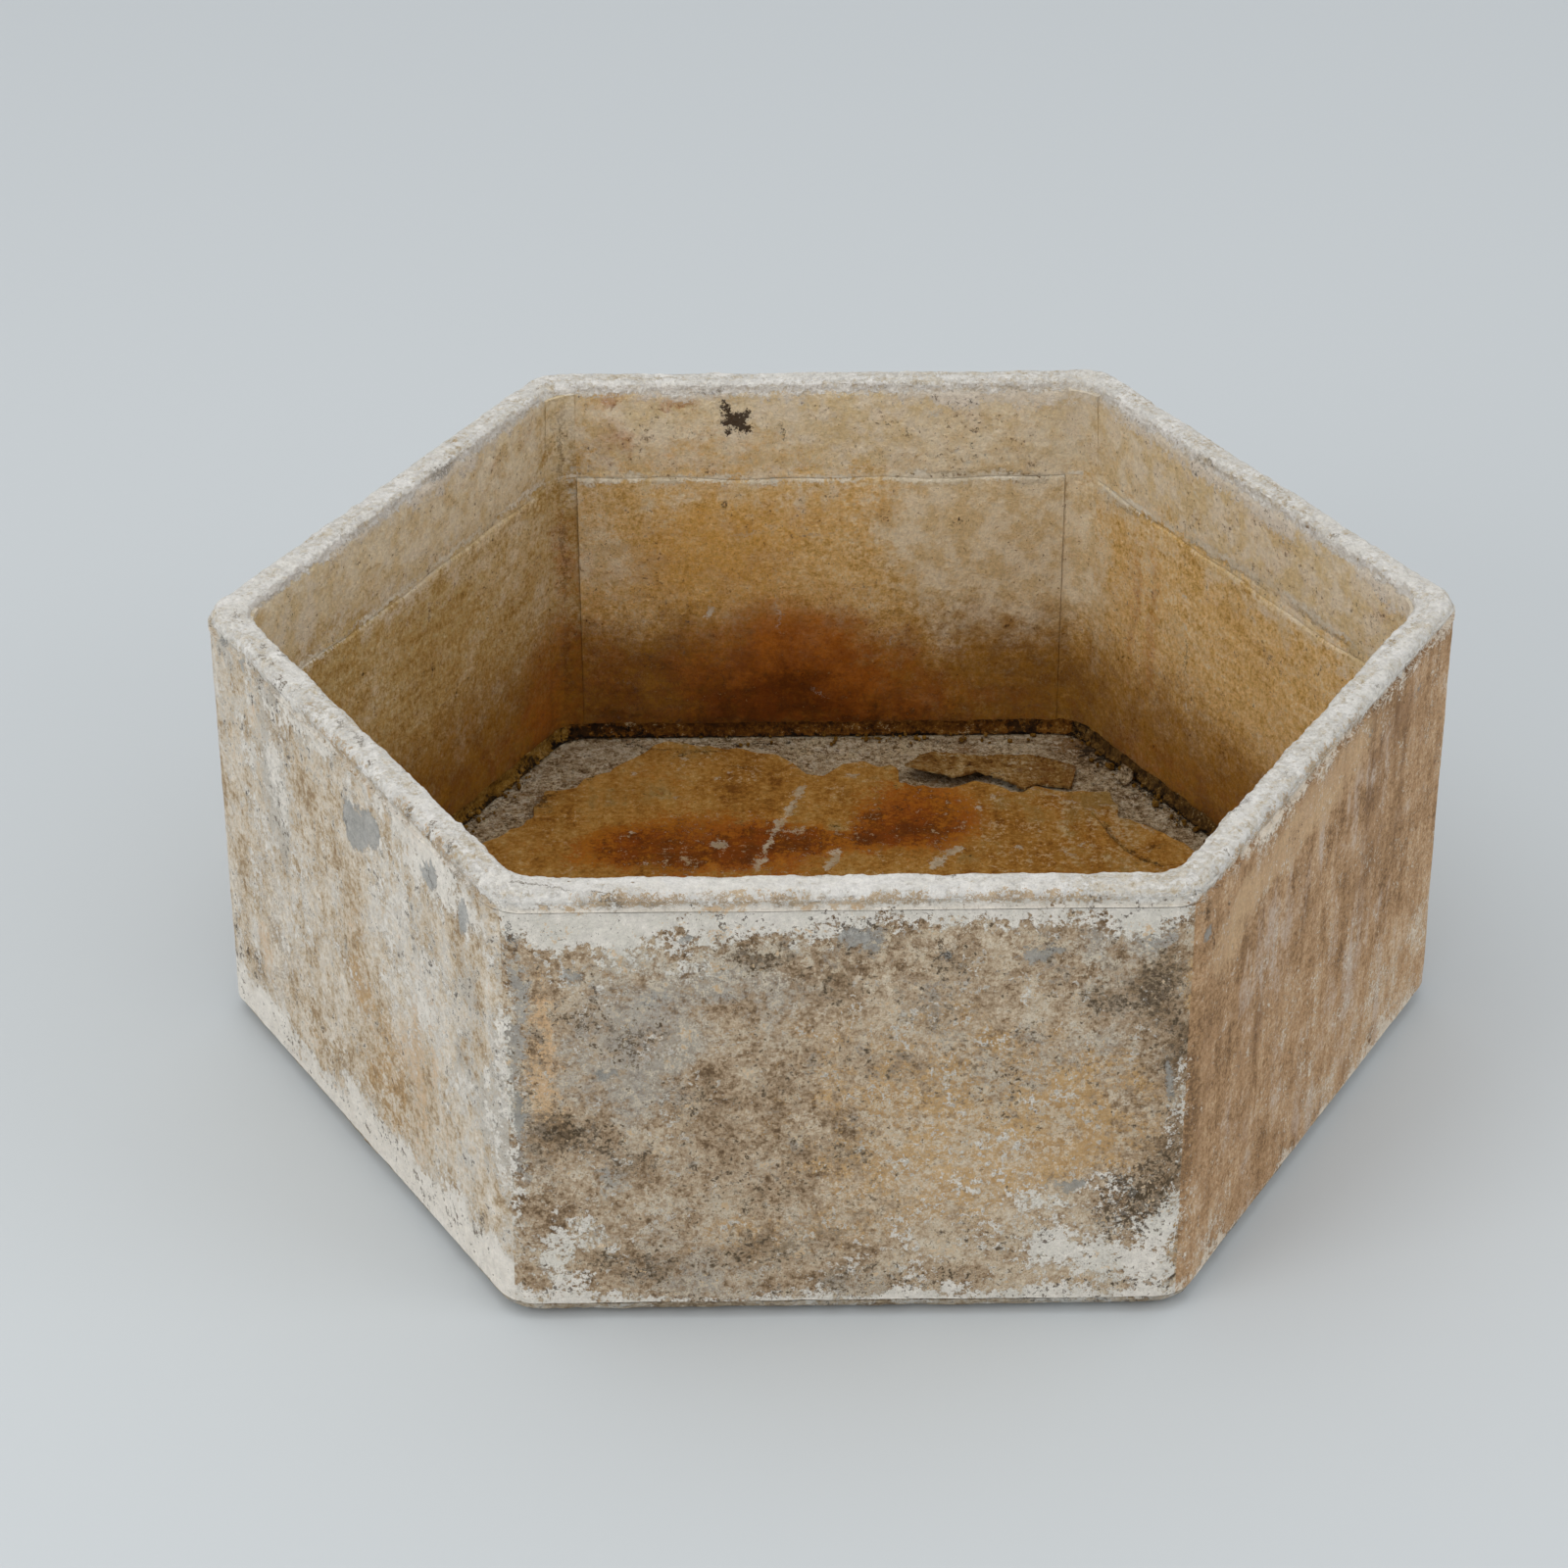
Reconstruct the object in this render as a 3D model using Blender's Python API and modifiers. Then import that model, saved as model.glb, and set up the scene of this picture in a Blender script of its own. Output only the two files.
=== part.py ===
"""Hexagonal planter, moulded by hand from wet fibre cement sheet.

Metres, +Z up, with the origin at the middle of the underside. Two of the six upright
corners lie on the X axis and the front side faces -Y. Sides are counted anticlockwise from
the front, and so are the corners: corner 0 is at the left end of side 0.

Most pieces are shares of a hexagonal ring. A ring is lofted through outlines, each a
hexagon with rounded corners, and two upright mitre planes cut each side's share from it.
"""
import math

import bmesh
import bpy
from mathutils import Vector

# The whole planter
SIDES = 6
HALF_ACROSS_FLATS = 0.3464
BODY_HEIGHT = 0.303
OUTER_CORNER_RADIUS = 0.026
INNER_CORNER_RADIUS = 0.025
BASE_EDGE_RADIUS = 0.015
JOINT_CLEARANCE = 0.0003
CUT_OVERRUN = 0.01
CORNER_STEPS = 8
EDGE_STEPS = 5
SMALLEST_RADIUS = 0.001

# Base and floor
BASE_SHEET_THICKNESS = 0.012
BACKING_PLY_THICKNESS = 0.005
FLOOR_PLY_THICKNESS = 0.0035
DRAIN_HOLE_RADIUS = 0.0125
DRAIN_HOLE_STEPS = 24

# Outer wall sheets
WALL_SHEET_THICKNESS = 0.012

# Rim collars, folded over the top of the wall
COLLAR_DEPTH = 0.077
COLLAR_FOOT_WALL = 0.0212
COLLAR_TOP_THICKNESS = 0.009
COLLAR_LIP_DEPTH = 0.014
COLLAR_LIP_THICKNESS = 0.0035
COLLAR_PROUD = 0.0008
RIM_WIDTH = 0.0255
RIM_OUTER_RADIUS = 0.008
RIM_INNER_RADIUS = 0.005

# Lining sheets, below the collars
LINING_FOOT_WALL = 0.0203
LINING_HEAD_WALL = 0.0224
LINING_NOSE_RADIUS = 0.003

# Strips in the inner corners
CORNER_STRIP_LEG = 0.0155

# Coves at the foot of the walls
COVE_HEIGHT = 0.009
COVE_WIDTH = 0.006
COVE_EDGE = 0.001

# Torn upper ply of the floor
TORN_BAND_WIDTH = 0.05
FLOOR_CRACK_WIDTH = 0.0012
CRACK_WIDTH = 0.0012
TEAR_GAP = 0.0008
FLAP_LIFT = 0.009
FLAP_ROW_STEPS = 4
FLAP_CURL_POWER = 1.5
CHIP_LENGTH = 0.014
CHIP_CURL_RADIUS = 0.008
CHIP_THICKNESS = 0.0022
CHIP_CURL_STEPS = 6
CHIP_ROW_STEPS = 2
CHIP_CURL = math.radians(105)
CHIP_WALL_DISTANCE = 0.0175

# The ply's edge, side by side: (share along the side, share of the torn band's width)
EDGE_SHARES = (
    ((0.06, 0.05), (0.16, 0.16), (0.27, 0.08), (0.38, 0.22), (0.52, 0.12), (0.66, 0.24), (0.80, 0.06),
     (0.93, 0.14)),
    ((0.07, 0.10), (0.18, 0.26), (0.30, 0.12), (0.44, 0.20), (0.58, 0.06), (0.71, 0.20), (0.84, 0.12),
     (0.94, 0.24)),
    ((0.06, 0.12), (0.17, 0.06), (0.28, 0.18), (0.40, 0.16), (0.50, 0.26), (0.536, 0.29), (0.562, 0.41),
     (0.631, 0.40), (0.681, 0.61), (0.73, 0.44), (0.777, 0.38)),
    ((0.345, 0.84), (0.362, 0.78), (0.385, 0.82), (0.42, 0.72), (0.459, 0.67), (0.498, 1.00), (0.532, 1.02),
     (0.56, 0.66), (0.591, 0.42), (0.64, 0.34), (0.685, 0.27), (0.73, 0.14), (0.761, 0.11), (0.811, 0.04),
     (0.848, 0.24), (0.895, 0.57)),
    ((0.095, 0.84), (0.12, 0.74), (0.159, 0.76), (0.18, 0.60), (0.199, 0.44), (0.26, 0.50), (0.30, 0.62),
     (0.341, 0.57), (0.389, 0.46), (0.45, 0.36), (0.52, 0.26), (0.60, 0.10), (0.70, 0.14), (0.82, 0.06),
     (0.94, 0.16)),
    ((0.08, 0.12), (0.20, 0.04), (0.33, 0.20), (0.45, 0.08), (0.60, 0.14), (0.74, 0.10), (0.88, 0.22)),
)

# The tear between the ply and its flap, on the back side, and the flap's other edge
TEAR_SHARES = ((0.345, 1.24), (0.293, 1.40), (0.248, 1.54), (0.200, 1.32), (0.160, 1.46), (0.110, 1.72),
               (0.086, 1.54), (0.017, 1.64))
FLAP_BACK_SHARES = ((0.309, 0.64), (0.277, 0.56), (0.240, 0.60), (0.192, 0.68), (0.142, 0.68), (0.088, 0.66),
                    (0.049, 0.78), (0.000, 1.02))
FLAP_SIDE = 3

# A crack through the ply near the right side, in shares of the floor's half width
CRACK_SHARES = ((0.580, 0.620), (0.604, 0.552), (0.622, 0.497), (0.645, 0.457), (0.672, 0.421),
                (0.712, 0.402), (0.760, 0.400))
CHIP_SIDE = 2
CHIP_ALONG_SHARE = 0.79

SIDE_NAMES = ("front", "front_right", "back_right", "back", "back_left", "front_left")
CORNER_NAMES = ("front_left", "front_right", "right", "back_right", "back_left", "left")

# Heights and distances from the middle, worked out from the sizes above
STEP_ANGLE = 2 * math.pi / SIDES
HALF_STEP = STEP_ANGLE / 2
WALL_SHEET_INNER = HALF_ACROSS_FLATS - WALL_SHEET_THICKNESS
LINER_BACK = WALL_SHEET_INNER - JOINT_CLEARANCE
BACKING_BOTTOM = BASE_SHEET_THICKNESS + JOINT_CLEARANCE
BACKING_TOP = BACKING_BOTTOM + BACKING_PLY_THICKNESS
FLOOR_BOTTOM = BACKING_TOP + JOINT_CLEARANCE
FLOOR_TOP = FLOOR_BOTTOM + FLOOR_PLY_THICKNESS
SEAM_HEIGHT = BODY_HEIGHT - COLLAR_DEPTH
COLLAR_UNDERSIDE = BODY_HEIGHT - COLLAR_TOP_THICKNESS
WALL_SHEET_TOP = COLLAR_UNDERSIDE - JOINT_CLEARANCE
LIP_FOOT = BODY_HEIGHT - COLLAR_LIP_DEPTH
LINING_FOOT = HALF_ACROSS_FLATS - LINING_FOOT_WALL
LINING_HEAD = HALF_ACROSS_FLATS - LINING_HEAD_WALL
COLLAR_FOOT = HALF_ACROSS_FLATS - COLLAR_FOOT_WALL
RIM_INNER = HALF_ACROSS_FLATS - RIM_WIDTH
COLLAR_OUTER = HALF_ACROSS_FLATS + COLLAR_PROUD
LIP_INNER = COLLAR_OUTER - COLLAR_LIP_THICKNESS
STRIP_EDGE = LINING_FOOT * math.tan(HALF_STEP) - CORNER_STRIP_LEG
PLY_EDGE = LINING_FOOT - COVE_WIDTH - FLOOR_CRACK_WIDTH


# Places on the hexagon

def side_angle(side):
    """Direction in which a side faces."""
    return -math.pi / 2 + side * STEP_ANGLE


def corner_angle(corner):
    """Direction of a corner; a side lies between its own corner and the next one."""
    return side_angle(corner) - HALF_STEP


def place_on_side(side, along, distance):
    """Plan position at a distance from the middle and a way along a side, anticlockwise."""
    angle = side_angle(side)
    facing = Vector((math.cos(angle), math.sin(angle)))
    sideways = Vector((-facing.y, facing.x))
    return facing * distance + sideways * along


def floor_place(side, along_share, band_share):
    """Plan position on the floor, given in shares of a side and of the torn band's width."""
    half_side = PLY_EDGE * math.tan(HALF_STEP)
    along = (2 * along_share - 1) * half_side
    return place_on_side(side, along, PLY_EDGE - band_share * TORN_BAND_WIDTH)


def outer_corner_radius(distance):
    """Corner radius of an outline that runs parallel to the outer face."""
    return max(OUTER_CORNER_RADIUS - (HALF_ACROSS_FLATS - distance), SMALLEST_RADIUS)


def outer_face_distance(height):
    """Distance of the outer face from the middle, with the rounded base edge."""
    if height >= BASE_EDGE_RADIUS:
        return HALF_ACROSS_FLATS
    drop = BASE_EDGE_RADIUS - height
    return HALF_ACROSS_FLATS - BASE_EDGE_RADIUS + math.sqrt(BASE_EDGE_RADIUS ** 2 - drop ** 2)


def quarter_turn():
    """Angles of a quarter turn, from start to end."""
    return [math.pi / 2 * step / EDGE_STEPS for step in range(EDGE_STEPS + 1)]


def outer_face(low, high):
    """Sections of the outer face between two heights."""
    round_heights = [BASE_EDGE_RADIUS * (1 - math.cos(turn)) for turn in quarter_turn()]
    heights = [low] + [height for height in round_heights if low < height < high] + [high]
    return [outer_section(outer_face_distance(height), height) for height in heights]


def collar_face_distance(height):
    """Distance of the collar's inner face from the middle."""
    share = (height - SEAM_HEIGHT) / COLLAR_DEPTH
    return COLLAR_FOOT + (RIM_INNER - COLLAR_FOOT) * share


def outer_section(distance, height):
    """A section whose corners run parallel to the outer face."""
    return distance, outer_corner_radius(distance), height


def inner_section(distance, height, face=None):
    """A section whose corners run parallel to the inner face."""
    inset = 0 if face is None else face - distance
    return distance, max(INNER_CORNER_RADIUS - inset, SMALLEST_RADIUS), height


# Solids

def rounded_hexagon(distance, radius):
    """Plan points of a hexagon with rounded corners, anticlockwise."""
    points = []
    for corner in range(SIDES):
        middle = corner_angle(corner)
        reach = (distance - radius) / math.cos(HALF_STEP)
        centre = Vector((math.cos(middle), math.sin(middle))) * reach
        for step in range(CORNER_STEPS + 1):
            angle = middle - HALF_STEP + STEP_ANGLE * step / CORNER_STEPS
            points.append(centre + Vector((math.cos(angle), math.sin(angle))) * radius)
    return points


def lofted_mesh(name, sections, ring):
    """Loft through (distance, corner radius, height) sections; a ring closes on itself."""
    bm = bmesh.new()
    loops = []
    for distance, radius, height in sections:
        loops.append([bm.verts.new((*point, height)) for point in rounded_hexagon(distance, radius)])
    pairs = list(zip(loops, loops[1:]))
    if ring:
        pairs.append((loops[-1], loops[0]))
    for low, high in pairs:
        for i in range(len(low)):
            bm.faces.new((low[i - 1], low[i], high[i], high[i - 1]))
    if not ring:
        bm.faces.new(reversed(loops[0]))
        bm.faces.new(loops[-1])
    return finished_mesh(bm, name)


def prism_mesh(name, points, low, high):
    """An upright prism over a plan outline."""
    bm = bmesh.new()
    face = bm.faces.new([bm.verts.new((*point, low)) for point in points])
    grown = bmesh.ops.extrude_face_region(bm, geom=[face])
    top = [item for item in grown["geom"] if isinstance(item, bmesh.types.BMVert)]
    bmesh.ops.translate(bm, vec=(0, 0, high - low), verts=top)
    return finished_mesh(bm, name)


def finished_mesh(bm, name):
    """Point all faces outwards and hand over the mesh."""
    bmesh.ops.recalc_face_normals(bm, faces=bm.faces)
    mesh = bpy.data.meshes.new(name)
    bm.to_mesh(mesh)
    bm.free()
    return mesh


def shade(mesh):
    """Smooth the rounded faces and keep the edges crisp."""
    mesh.shade_smooth()
    mesh.set_sharp_from_angle(angle=math.radians(35))


# Objects

def new_collection(name):
    collection = bpy.data.collections.new(name)
    bpy.context.scene.collection.children.link(collection)
    return collection


def new_material(name, colour, roughness):
    """A dull mineral finish."""
    material = bpy.data.materials.new(name)
    material.use_nodes = True
    shader = material.node_tree.nodes["Principled BSDF"]
    shader.inputs["Base Color"].default_value = (*colour, 1)
    shader.inputs["Roughness"].default_value = roughness
    shader.inputs["Metallic"].default_value = 0
    material.diffuse_color = (*colour, 1)
    return material


def new_piece(collection, name, data, material):
    piece = bpy.data.objects.new(name, data)
    if not data.materials:
        data.materials.append(material)
    collection.objects.link(piece)
    return piece


def new_cutter(collection, name, mesh):
    cutter = bpy.data.objects.new(name, mesh)
    cutter.hide_render = True
    cutter.display_type = "WIRE"
    collection.objects.link(cutter)
    return cutter


def cut(piece, operation, cutter):
    """Cut a piece, or keep only what lies inside the cutter."""
    modifier = piece.modifiers.new(cutter.name, "BOOLEAN")
    modifier.operation = operation
    modifier.object = cutter
    modifier.solver = "EXACT"


def drain_cutter(collection):
    """The drain hole, through the base and both plies of the floor."""
    bm = bmesh.new()
    bmesh.ops.create_cone(bm, cap_ends=True, segments=DRAIN_HOLE_STEPS, radius1=DRAIN_HOLE_RADIUS,
                          radius2=DRAIN_HOLE_RADIUS, depth=2 * (FLOOR_TOP + CUT_OVERRUN))
    return new_cutter(collection, "drain_hole", finished_mesh(bm, "drain_hole"))


def mitre_cutters(collection):
    """One wedge for each side, between its two mitre planes, clear of its neighbours."""
    reach = 2 * HALF_ACROSS_FLATS
    cutters = []
    for side, name in enumerate(SIDE_NAMES):
        facing = side_angle(side)
        apex = Vector((math.cos(facing), math.sin(facing))) * JOINT_CLEARANCE
        ends = [apex + Vector((math.cos(facing + turn), math.sin(facing + turn))) * reach
                for turn in (-HALF_STEP, HALF_STEP)]
        mesh = prism_mesh("mitre_" + name, [apex] + ends, -CUT_OVERRUN, BODY_HEIGHT + CUT_OVERRUN)
        cutters.append(new_cutter(collection, "mitre_" + name, mesh))
    return cutters


def corner_outline(corner, edge):
    """Plan outline round an inner corner, square to the walls at a distance along them."""
    wall_middle = HALF_ACROSS_FLATS - WALL_SHEET_THICKNESS / 2
    angle = corner_angle(corner)
    direction = Vector((math.cos(angle), math.sin(angle)))
    return [
        direction * edge / math.sin(HALF_STEP),
        place_on_side(corner - 1, edge, wall_middle),
        direction * wall_middle / math.cos(HALF_STEP),
        place_on_side(corner, -edge, wall_middle),
    ]


def corner_cutters(collection, kind, edge, low, high):
    """One upright block round each inner corner."""
    cutters = []
    for corner, name in enumerate(CORNER_NAMES):
        mesh = prism_mesh(kind + name, corner_outline(corner, edge), low, high)
        cutters.append(new_cutter(collection, kind + name, mesh))
    return cutters


def make_base(collection, material, drain):
    sections = outer_face(0, BASE_SHEET_THICKNESS)
    mesh = lofted_mesh("base_sheet", sections, ring=False)
    shade(mesh)
    cut(new_piece(collection, "base_sheet", mesh, material), "DIFFERENCE", drain)


def make_backing(collection, material, drain):
    """The ply that shows, pale and pebbly, where the floor's upper ply has gone."""
    sections = [outer_section(LINER_BACK, BACKING_BOTTOM), outer_section(LINER_BACK, BACKING_TOP)]
    mesh = lofted_mesh("floor_backing_ply", sections, ring=False)
    cut(new_piece(collection, "floor_backing_ply", mesh, material), "DIFFERENCE", drain)


def make_wall_sheets(collection, material, mitres):
    """Outer sheets, rebated at the top for the collars' lips."""
    rebate = LIP_INNER - JOINT_CLEARANCE
    rebate_foot = LIP_FOOT - JOINT_CLEARANCE
    sections = outer_face(BACKING_BOTTOM, rebate_foot) + [
        outer_section(rebate, rebate_foot),
        outer_section(rebate, WALL_SHEET_TOP),
        outer_section(WALL_SHEET_INNER, WALL_SHEET_TOP),
        outer_section(WALL_SHEET_INNER, BACKING_BOTTOM),
    ]
    mesh = lofted_mesh("wall_sheet", sections, ring=True)
    shade(mesh)
    for name, mitre in zip(SIDE_NAMES, mitres):
        cut(new_piece(collection, "wall_sheet_" + name, mesh, material), "INTERSECT", mitre)


def make_collars(collection, material, mitres, seats):
    """Collars, which hook over the wall sheets: a short lip outside and a deep leg inside."""
    rim_start = BODY_HEIGHT - RIM_INNER_RADIUS
    sections = [inner_section(COLLAR_FOOT, SEAM_HEIGHT)]
    for turn in quarter_turn():
        inset = RIM_INNER_RADIUS * (1 - math.cos(turn))
        height = rim_start + RIM_INNER_RADIUS * math.sin(turn)
        distance = collar_face_distance(rim_start) + inset
        sections.append(inner_section(distance, height, collar_face_distance(rim_start)))
    for turn in quarter_turn():
        distance = COLLAR_OUTER - RIM_OUTER_RADIUS * (1 - math.sin(turn))
        height = BODY_HEIGHT - RIM_OUTER_RADIUS * (1 - math.cos(turn))
        sections.append(outer_section(distance, height))
    sections += [
        outer_section(COLLAR_OUTER, LIP_FOOT),
        outer_section(LIP_INNER, LIP_FOOT),
        outer_section(LIP_INNER, COLLAR_UNDERSIDE),
        outer_section(LINER_BACK, COLLAR_UNDERSIDE),
        outer_section(LINER_BACK, SEAM_HEIGHT),
    ]
    mesh = lofted_mesh("rim_collar", sections, ring=True)
    shade(mesh)
    for side, name in enumerate(SIDE_NAMES):
        collar = new_piece(collection, "rim_collar_" + name, mesh, material)
        cut(collar, "DIFFERENCE", seats[side])
        cut(collar, "DIFFERENCE", seats[(side + 1) % SIDES])
        cut(collar, "INTERSECT", mitres[side])


def make_corner_strips(collection, material, blocks):
    """Strips pressed into the inner corners, behind a hollow fillet."""
    top = WALL_SHEET_TOP
    sections = [
        inner_section(LINING_FOOT, FLOOR_BOTTOM),
        inner_section(COLLAR_FOOT, SEAM_HEIGHT),
        inner_section(collar_face_distance(top), top),
        outer_section(LINER_BACK, top),
        outer_section(LINER_BACK, FLOOR_BOTTOM),
    ]
    mesh = lofted_mesh("corner_strip", sections, ring=True)
    shade(mesh)
    for name, block in zip(CORNER_NAMES, blocks):
        cut(new_piece(collection, "corner_strip_" + name, mesh, material), "INTERSECT", block)


def lining_outline():
    """Upright section of a lining sheet, as (distance, height), with a rounded nose at the seam."""
    top = SEAM_HEIGHT - JOINT_CLEARANCE
    points = [(LINER_BACK, FLOOR_BOTTOM), (LINER_BACK, top)]
    for turn in quarter_turn():
        distance = LINING_HEAD + LINING_NOSE_RADIUS * (1 - math.sin(turn))
        height = top - LINING_NOSE_RADIUS * (1 - math.cos(turn))
        points.append((distance, height))
    points.append((LINING_FOOT, FLOOR_BOTTOM))
    return points


def make_linings(collection, material):
    """Flat sheets below the seam, drawn as a section and extruded along each side."""
    outline = lining_outline()
    for side, name in enumerate(SIDE_NAMES):
        curve = bpy.data.curves.new("lining_sheet_" + name, "CURVE")
        curve.dimensions = "2D"
        curve.fill_mode = "BOTH"
        curve.extrude = STRIP_EDGE - JOINT_CLEARANCE / 2
        spline = curve.splines.new("POLY")
        spline.points.add(len(outline) - 1)
        for point, (distance, height) in zip(spline.points, outline):
            point.co = (distance, height, 0, 1)
        spline.use_cyclic_u = True
        sheet = new_piece(collection, "lining_sheet_" + name, curve, material)
        sheet.rotation_euler = (math.pi / 2, 0, side_angle(side))


def make_coves(collection, material, mitres):
    """Hollow fillets of pressed cement between the walls and the backing ply."""
    face = LINING_FOOT - JOINT_CLEARANCE
    slope = (LINING_FOOT - LINING_HEAD) / (SEAM_HEIGHT - FLOOR_BOTTOM)
    top_face = face - slope * COVE_HEIGHT
    sections = [
        inner_section(face, FLOOR_BOTTOM, LINING_FOOT),
        inner_section(top_face, FLOOR_BOTTOM + COVE_HEIGHT, LINING_FOOT),
    ]
    for turn in quarter_turn():
        inset = COVE_EDGE + (COVE_WIDTH - COVE_EDGE) * (1 - math.cos(turn))
        rise = COVE_EDGE + (COVE_HEIGHT - COVE_EDGE) * (1 - math.sin(turn))
        sections.append(inner_section(top_face - inset, FLOOR_BOTTOM + rise, LINING_FOOT))
    sections.append(inner_section(top_face - COVE_WIDTH, FLOOR_BOTTOM, LINING_FOOT))
    mesh = lofted_mesh("floor_cove", sections, ring=True)
    shade(mesh)
    for name, mitre in zip(SIDE_NAMES, mitres):
        cut(new_piece(collection, "floor_cove_" + name, mesh, material), "INTERSECT", mitre)


def ply_outline():
    """Torn outline of the upper ply, anticlockwise, with the notch that the flap came from."""
    points = []
    for side, shares in enumerate(EDGE_SHARES):
        if side == FLAP_SIDE:
            points += [floor_place(side, *share) for share in reversed(TEAR_SHARES)]
        points += [floor_place(side, *share) for share in shares]
    return points


def crack_outline():
    """Outline of the crack: its line, widened by half to each side and pointed at its ends."""
    line = [Vector(share) * LINING_FOOT for share in CRACK_SHARES]
    left, right = [], []
    for before, here, after in zip(line, line[1:], line[2:]):
        across = (after - before).orthogonal().normalized() * CRACK_WIDTH / 2
        left.append(here + across)
        right.append(here - across)
    return [line[0]] + left + [line[-1]] + right[::-1]


def make_floor_ply(collection, cutters, material, drain):
    mesh = prism_mesh("floor_ply", ply_outline(), FLOOR_BOTTOM, FLOOR_TOP)
    ply = new_piece(collection, "floor_ply", mesh, material)
    low = FLOOR_BOTTOM - CUT_OVERRUN
    crack = prism_mesh("floor_crack", crack_outline(), low, FLOOR_TOP + CUT_OVERRUN)
    cut(ply, "DIFFERENCE", drain)
    cut(ply, "DIFFERENCE", new_cutter(cutters, "floor_crack", crack))


def bent_sheet(name, columns, rows, place):
    """An open sheet: a flat grid whose points go to place(column share, row share)."""
    bm = bmesh.new()
    bmesh.ops.create_grid(bm, x_segments=columns, y_segments=rows, size=0.5)
    for vert in bm.verts:
        vert.co = place(vert.co.x + 0.5, vert.co.y + 0.5)
    bmesh.ops.recalc_face_normals(bm, faces=bm.faces)
    if sum(face.normal.z for face in bm.faces) < 0:
        bmesh.ops.reverse_faces(bm, faces=bm.faces)
    mesh = bpy.data.meshes.new(name)
    bm.to_mesh(mesh)
    bm.free()
    mesh.shade_smooth()
    return mesh


def thicken(piece, thickness):
    """Give an open sheet its thickness, on its upper side."""
    modifier = piece.modifiers.new("thickness", "SOLIDIFY")
    modifier.thickness = thickness
    modifier.offset = 1


def make_flap(collection, material):
    """The torn flap, which curls up towards its left front corner."""
    columns = len(TEAR_SHARES) - 1

    def place(column_share, row_share):
        column = round(column_share * columns)
        front = floor_place(FLAP_SIDE, *TEAR_SHARES[column])
        back = floor_place(FLAP_SIDE, *FLAP_BACK_SHARES[column])
        front += (back - front).normalized() * TEAR_GAP
        curl = math.cos(column_share * math.pi / 2) ** 2 * row_share ** FLAP_CURL_POWER
        return (*back.lerp(front, row_share), FLOOR_BOTTOM + FLAP_LIFT * curl)

    mesh = bent_sheet("floor_ply_flap", columns, FLAP_ROW_STEPS, place)
    thicken(new_piece(collection, "floor_ply_flap", mesh, material), FLOOR_PLY_THICKNESS)


def make_chip(collection, material):
    """A small chip of the ply, curled up beside the wall."""

    def place(column_share, row_share):
        turn = column_share * CHIP_CURL
        rise = CHIP_CURL_RADIUS * (1 - math.cos(turn))
        return CHIP_CURL_RADIUS * math.sin(turn), (row_share - 0.5) * CHIP_LENGTH, rise

    mesh = bent_sheet("floor_ply_chip", CHIP_CURL_STEPS, CHIP_ROW_STEPS, place)
    chip = new_piece(collection, "floor_ply_chip", mesh, material)
    along = (2 * CHIP_ALONG_SHARE - 1) * LINING_FOOT * math.tan(HALF_STEP)
    plan = place_on_side(CHIP_SIDE, along, LINING_FOOT - CHIP_WALL_DISTANCE)
    chip.location = (*plan, FLOOR_BOTTOM)
    chip.rotation_euler = (0, 0, side_angle(CHIP_SIDE))
    thicken(chip, CHIP_THICKNESS)


def main():
    for old in list(bpy.data.objects):
        bpy.data.objects.remove(old)
    planter = new_collection("fibre_cement_planter")
    cutters = new_collection("cutters")

    chalk = new_material("chalky_rim", (0.72, 0.67, 0.58), 0.9)
    weathered = new_material("weathered_wall", (0.47, 0.39, 0.31), 0.92)
    ochre = new_material("ochre_lining", (0.38, 0.28, 0.14), 0.85)
    strip_finish = new_material("corner_strip", (0.42, 0.34, 0.22), 0.88)
    pebbly = new_material("pebbly_backing", (0.40, 0.33, 0.26), 0.95)
    rusty = new_material("rust_stained_ply", (0.33, 0.17, 0.05), 0.8)
    dirty = new_material("dirty_cove", (0.20, 0.14, 0.08), 0.95)
    pale = new_material("base_sheet", (0.55, 0.52, 0.46), 0.92)

    drain = drain_cutter(cutters)
    mitres = mitre_cutters(cutters)
    half_gap = JOINT_CLEARANCE / 2
    blocks = corner_cutters(cutters, "strip_", STRIP_EDGE + half_gap, -CUT_OVERRUN, BODY_HEIGHT)
    seats = corner_cutters(cutters, "seat_", STRIP_EDGE - half_gap, SEAM_HEIGHT - CUT_OVERRUN,
                           COLLAR_UNDERSIDE + JOINT_CLEARANCE)

    make_base(planter, pale, drain)
    make_backing(planter, pebbly, drain)
    make_wall_sheets(planter, weathered, mitres)
    make_collars(planter, chalk, mitres, seats)
    make_corner_strips(planter, strip_finish, blocks)
    make_linings(planter, ochre)
    make_coves(planter, dirty, mitres)
    make_floor_ply(planter, cutters, rusty, drain)
    make_flap(planter, rusty)
    make_chip(planter, pebbly)


main()
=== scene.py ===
"""Looks of a weathered hexagonal planter, hand-moulded from fibre cement.

Metres, +Z up, with the origin at the middle of the underside. Sides are counted
anticlockwise from the front, which faces -Y, and corner 0 is the front side's left end.
Each sheet of the planter is swept round the six sides as one ring, roughened as one ring,
and then cut into the sheets, so that neighbours meet along one line.
"""
import logging
import math
import random
from contextlib import contextmanager
from dataclasses import dataclass, field, replace
from enum import Enum
from typing import Callable, Iterator, Sequence

import bmesh
import bpy
import numpy as np
from mathutils import Matrix, Vector


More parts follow.
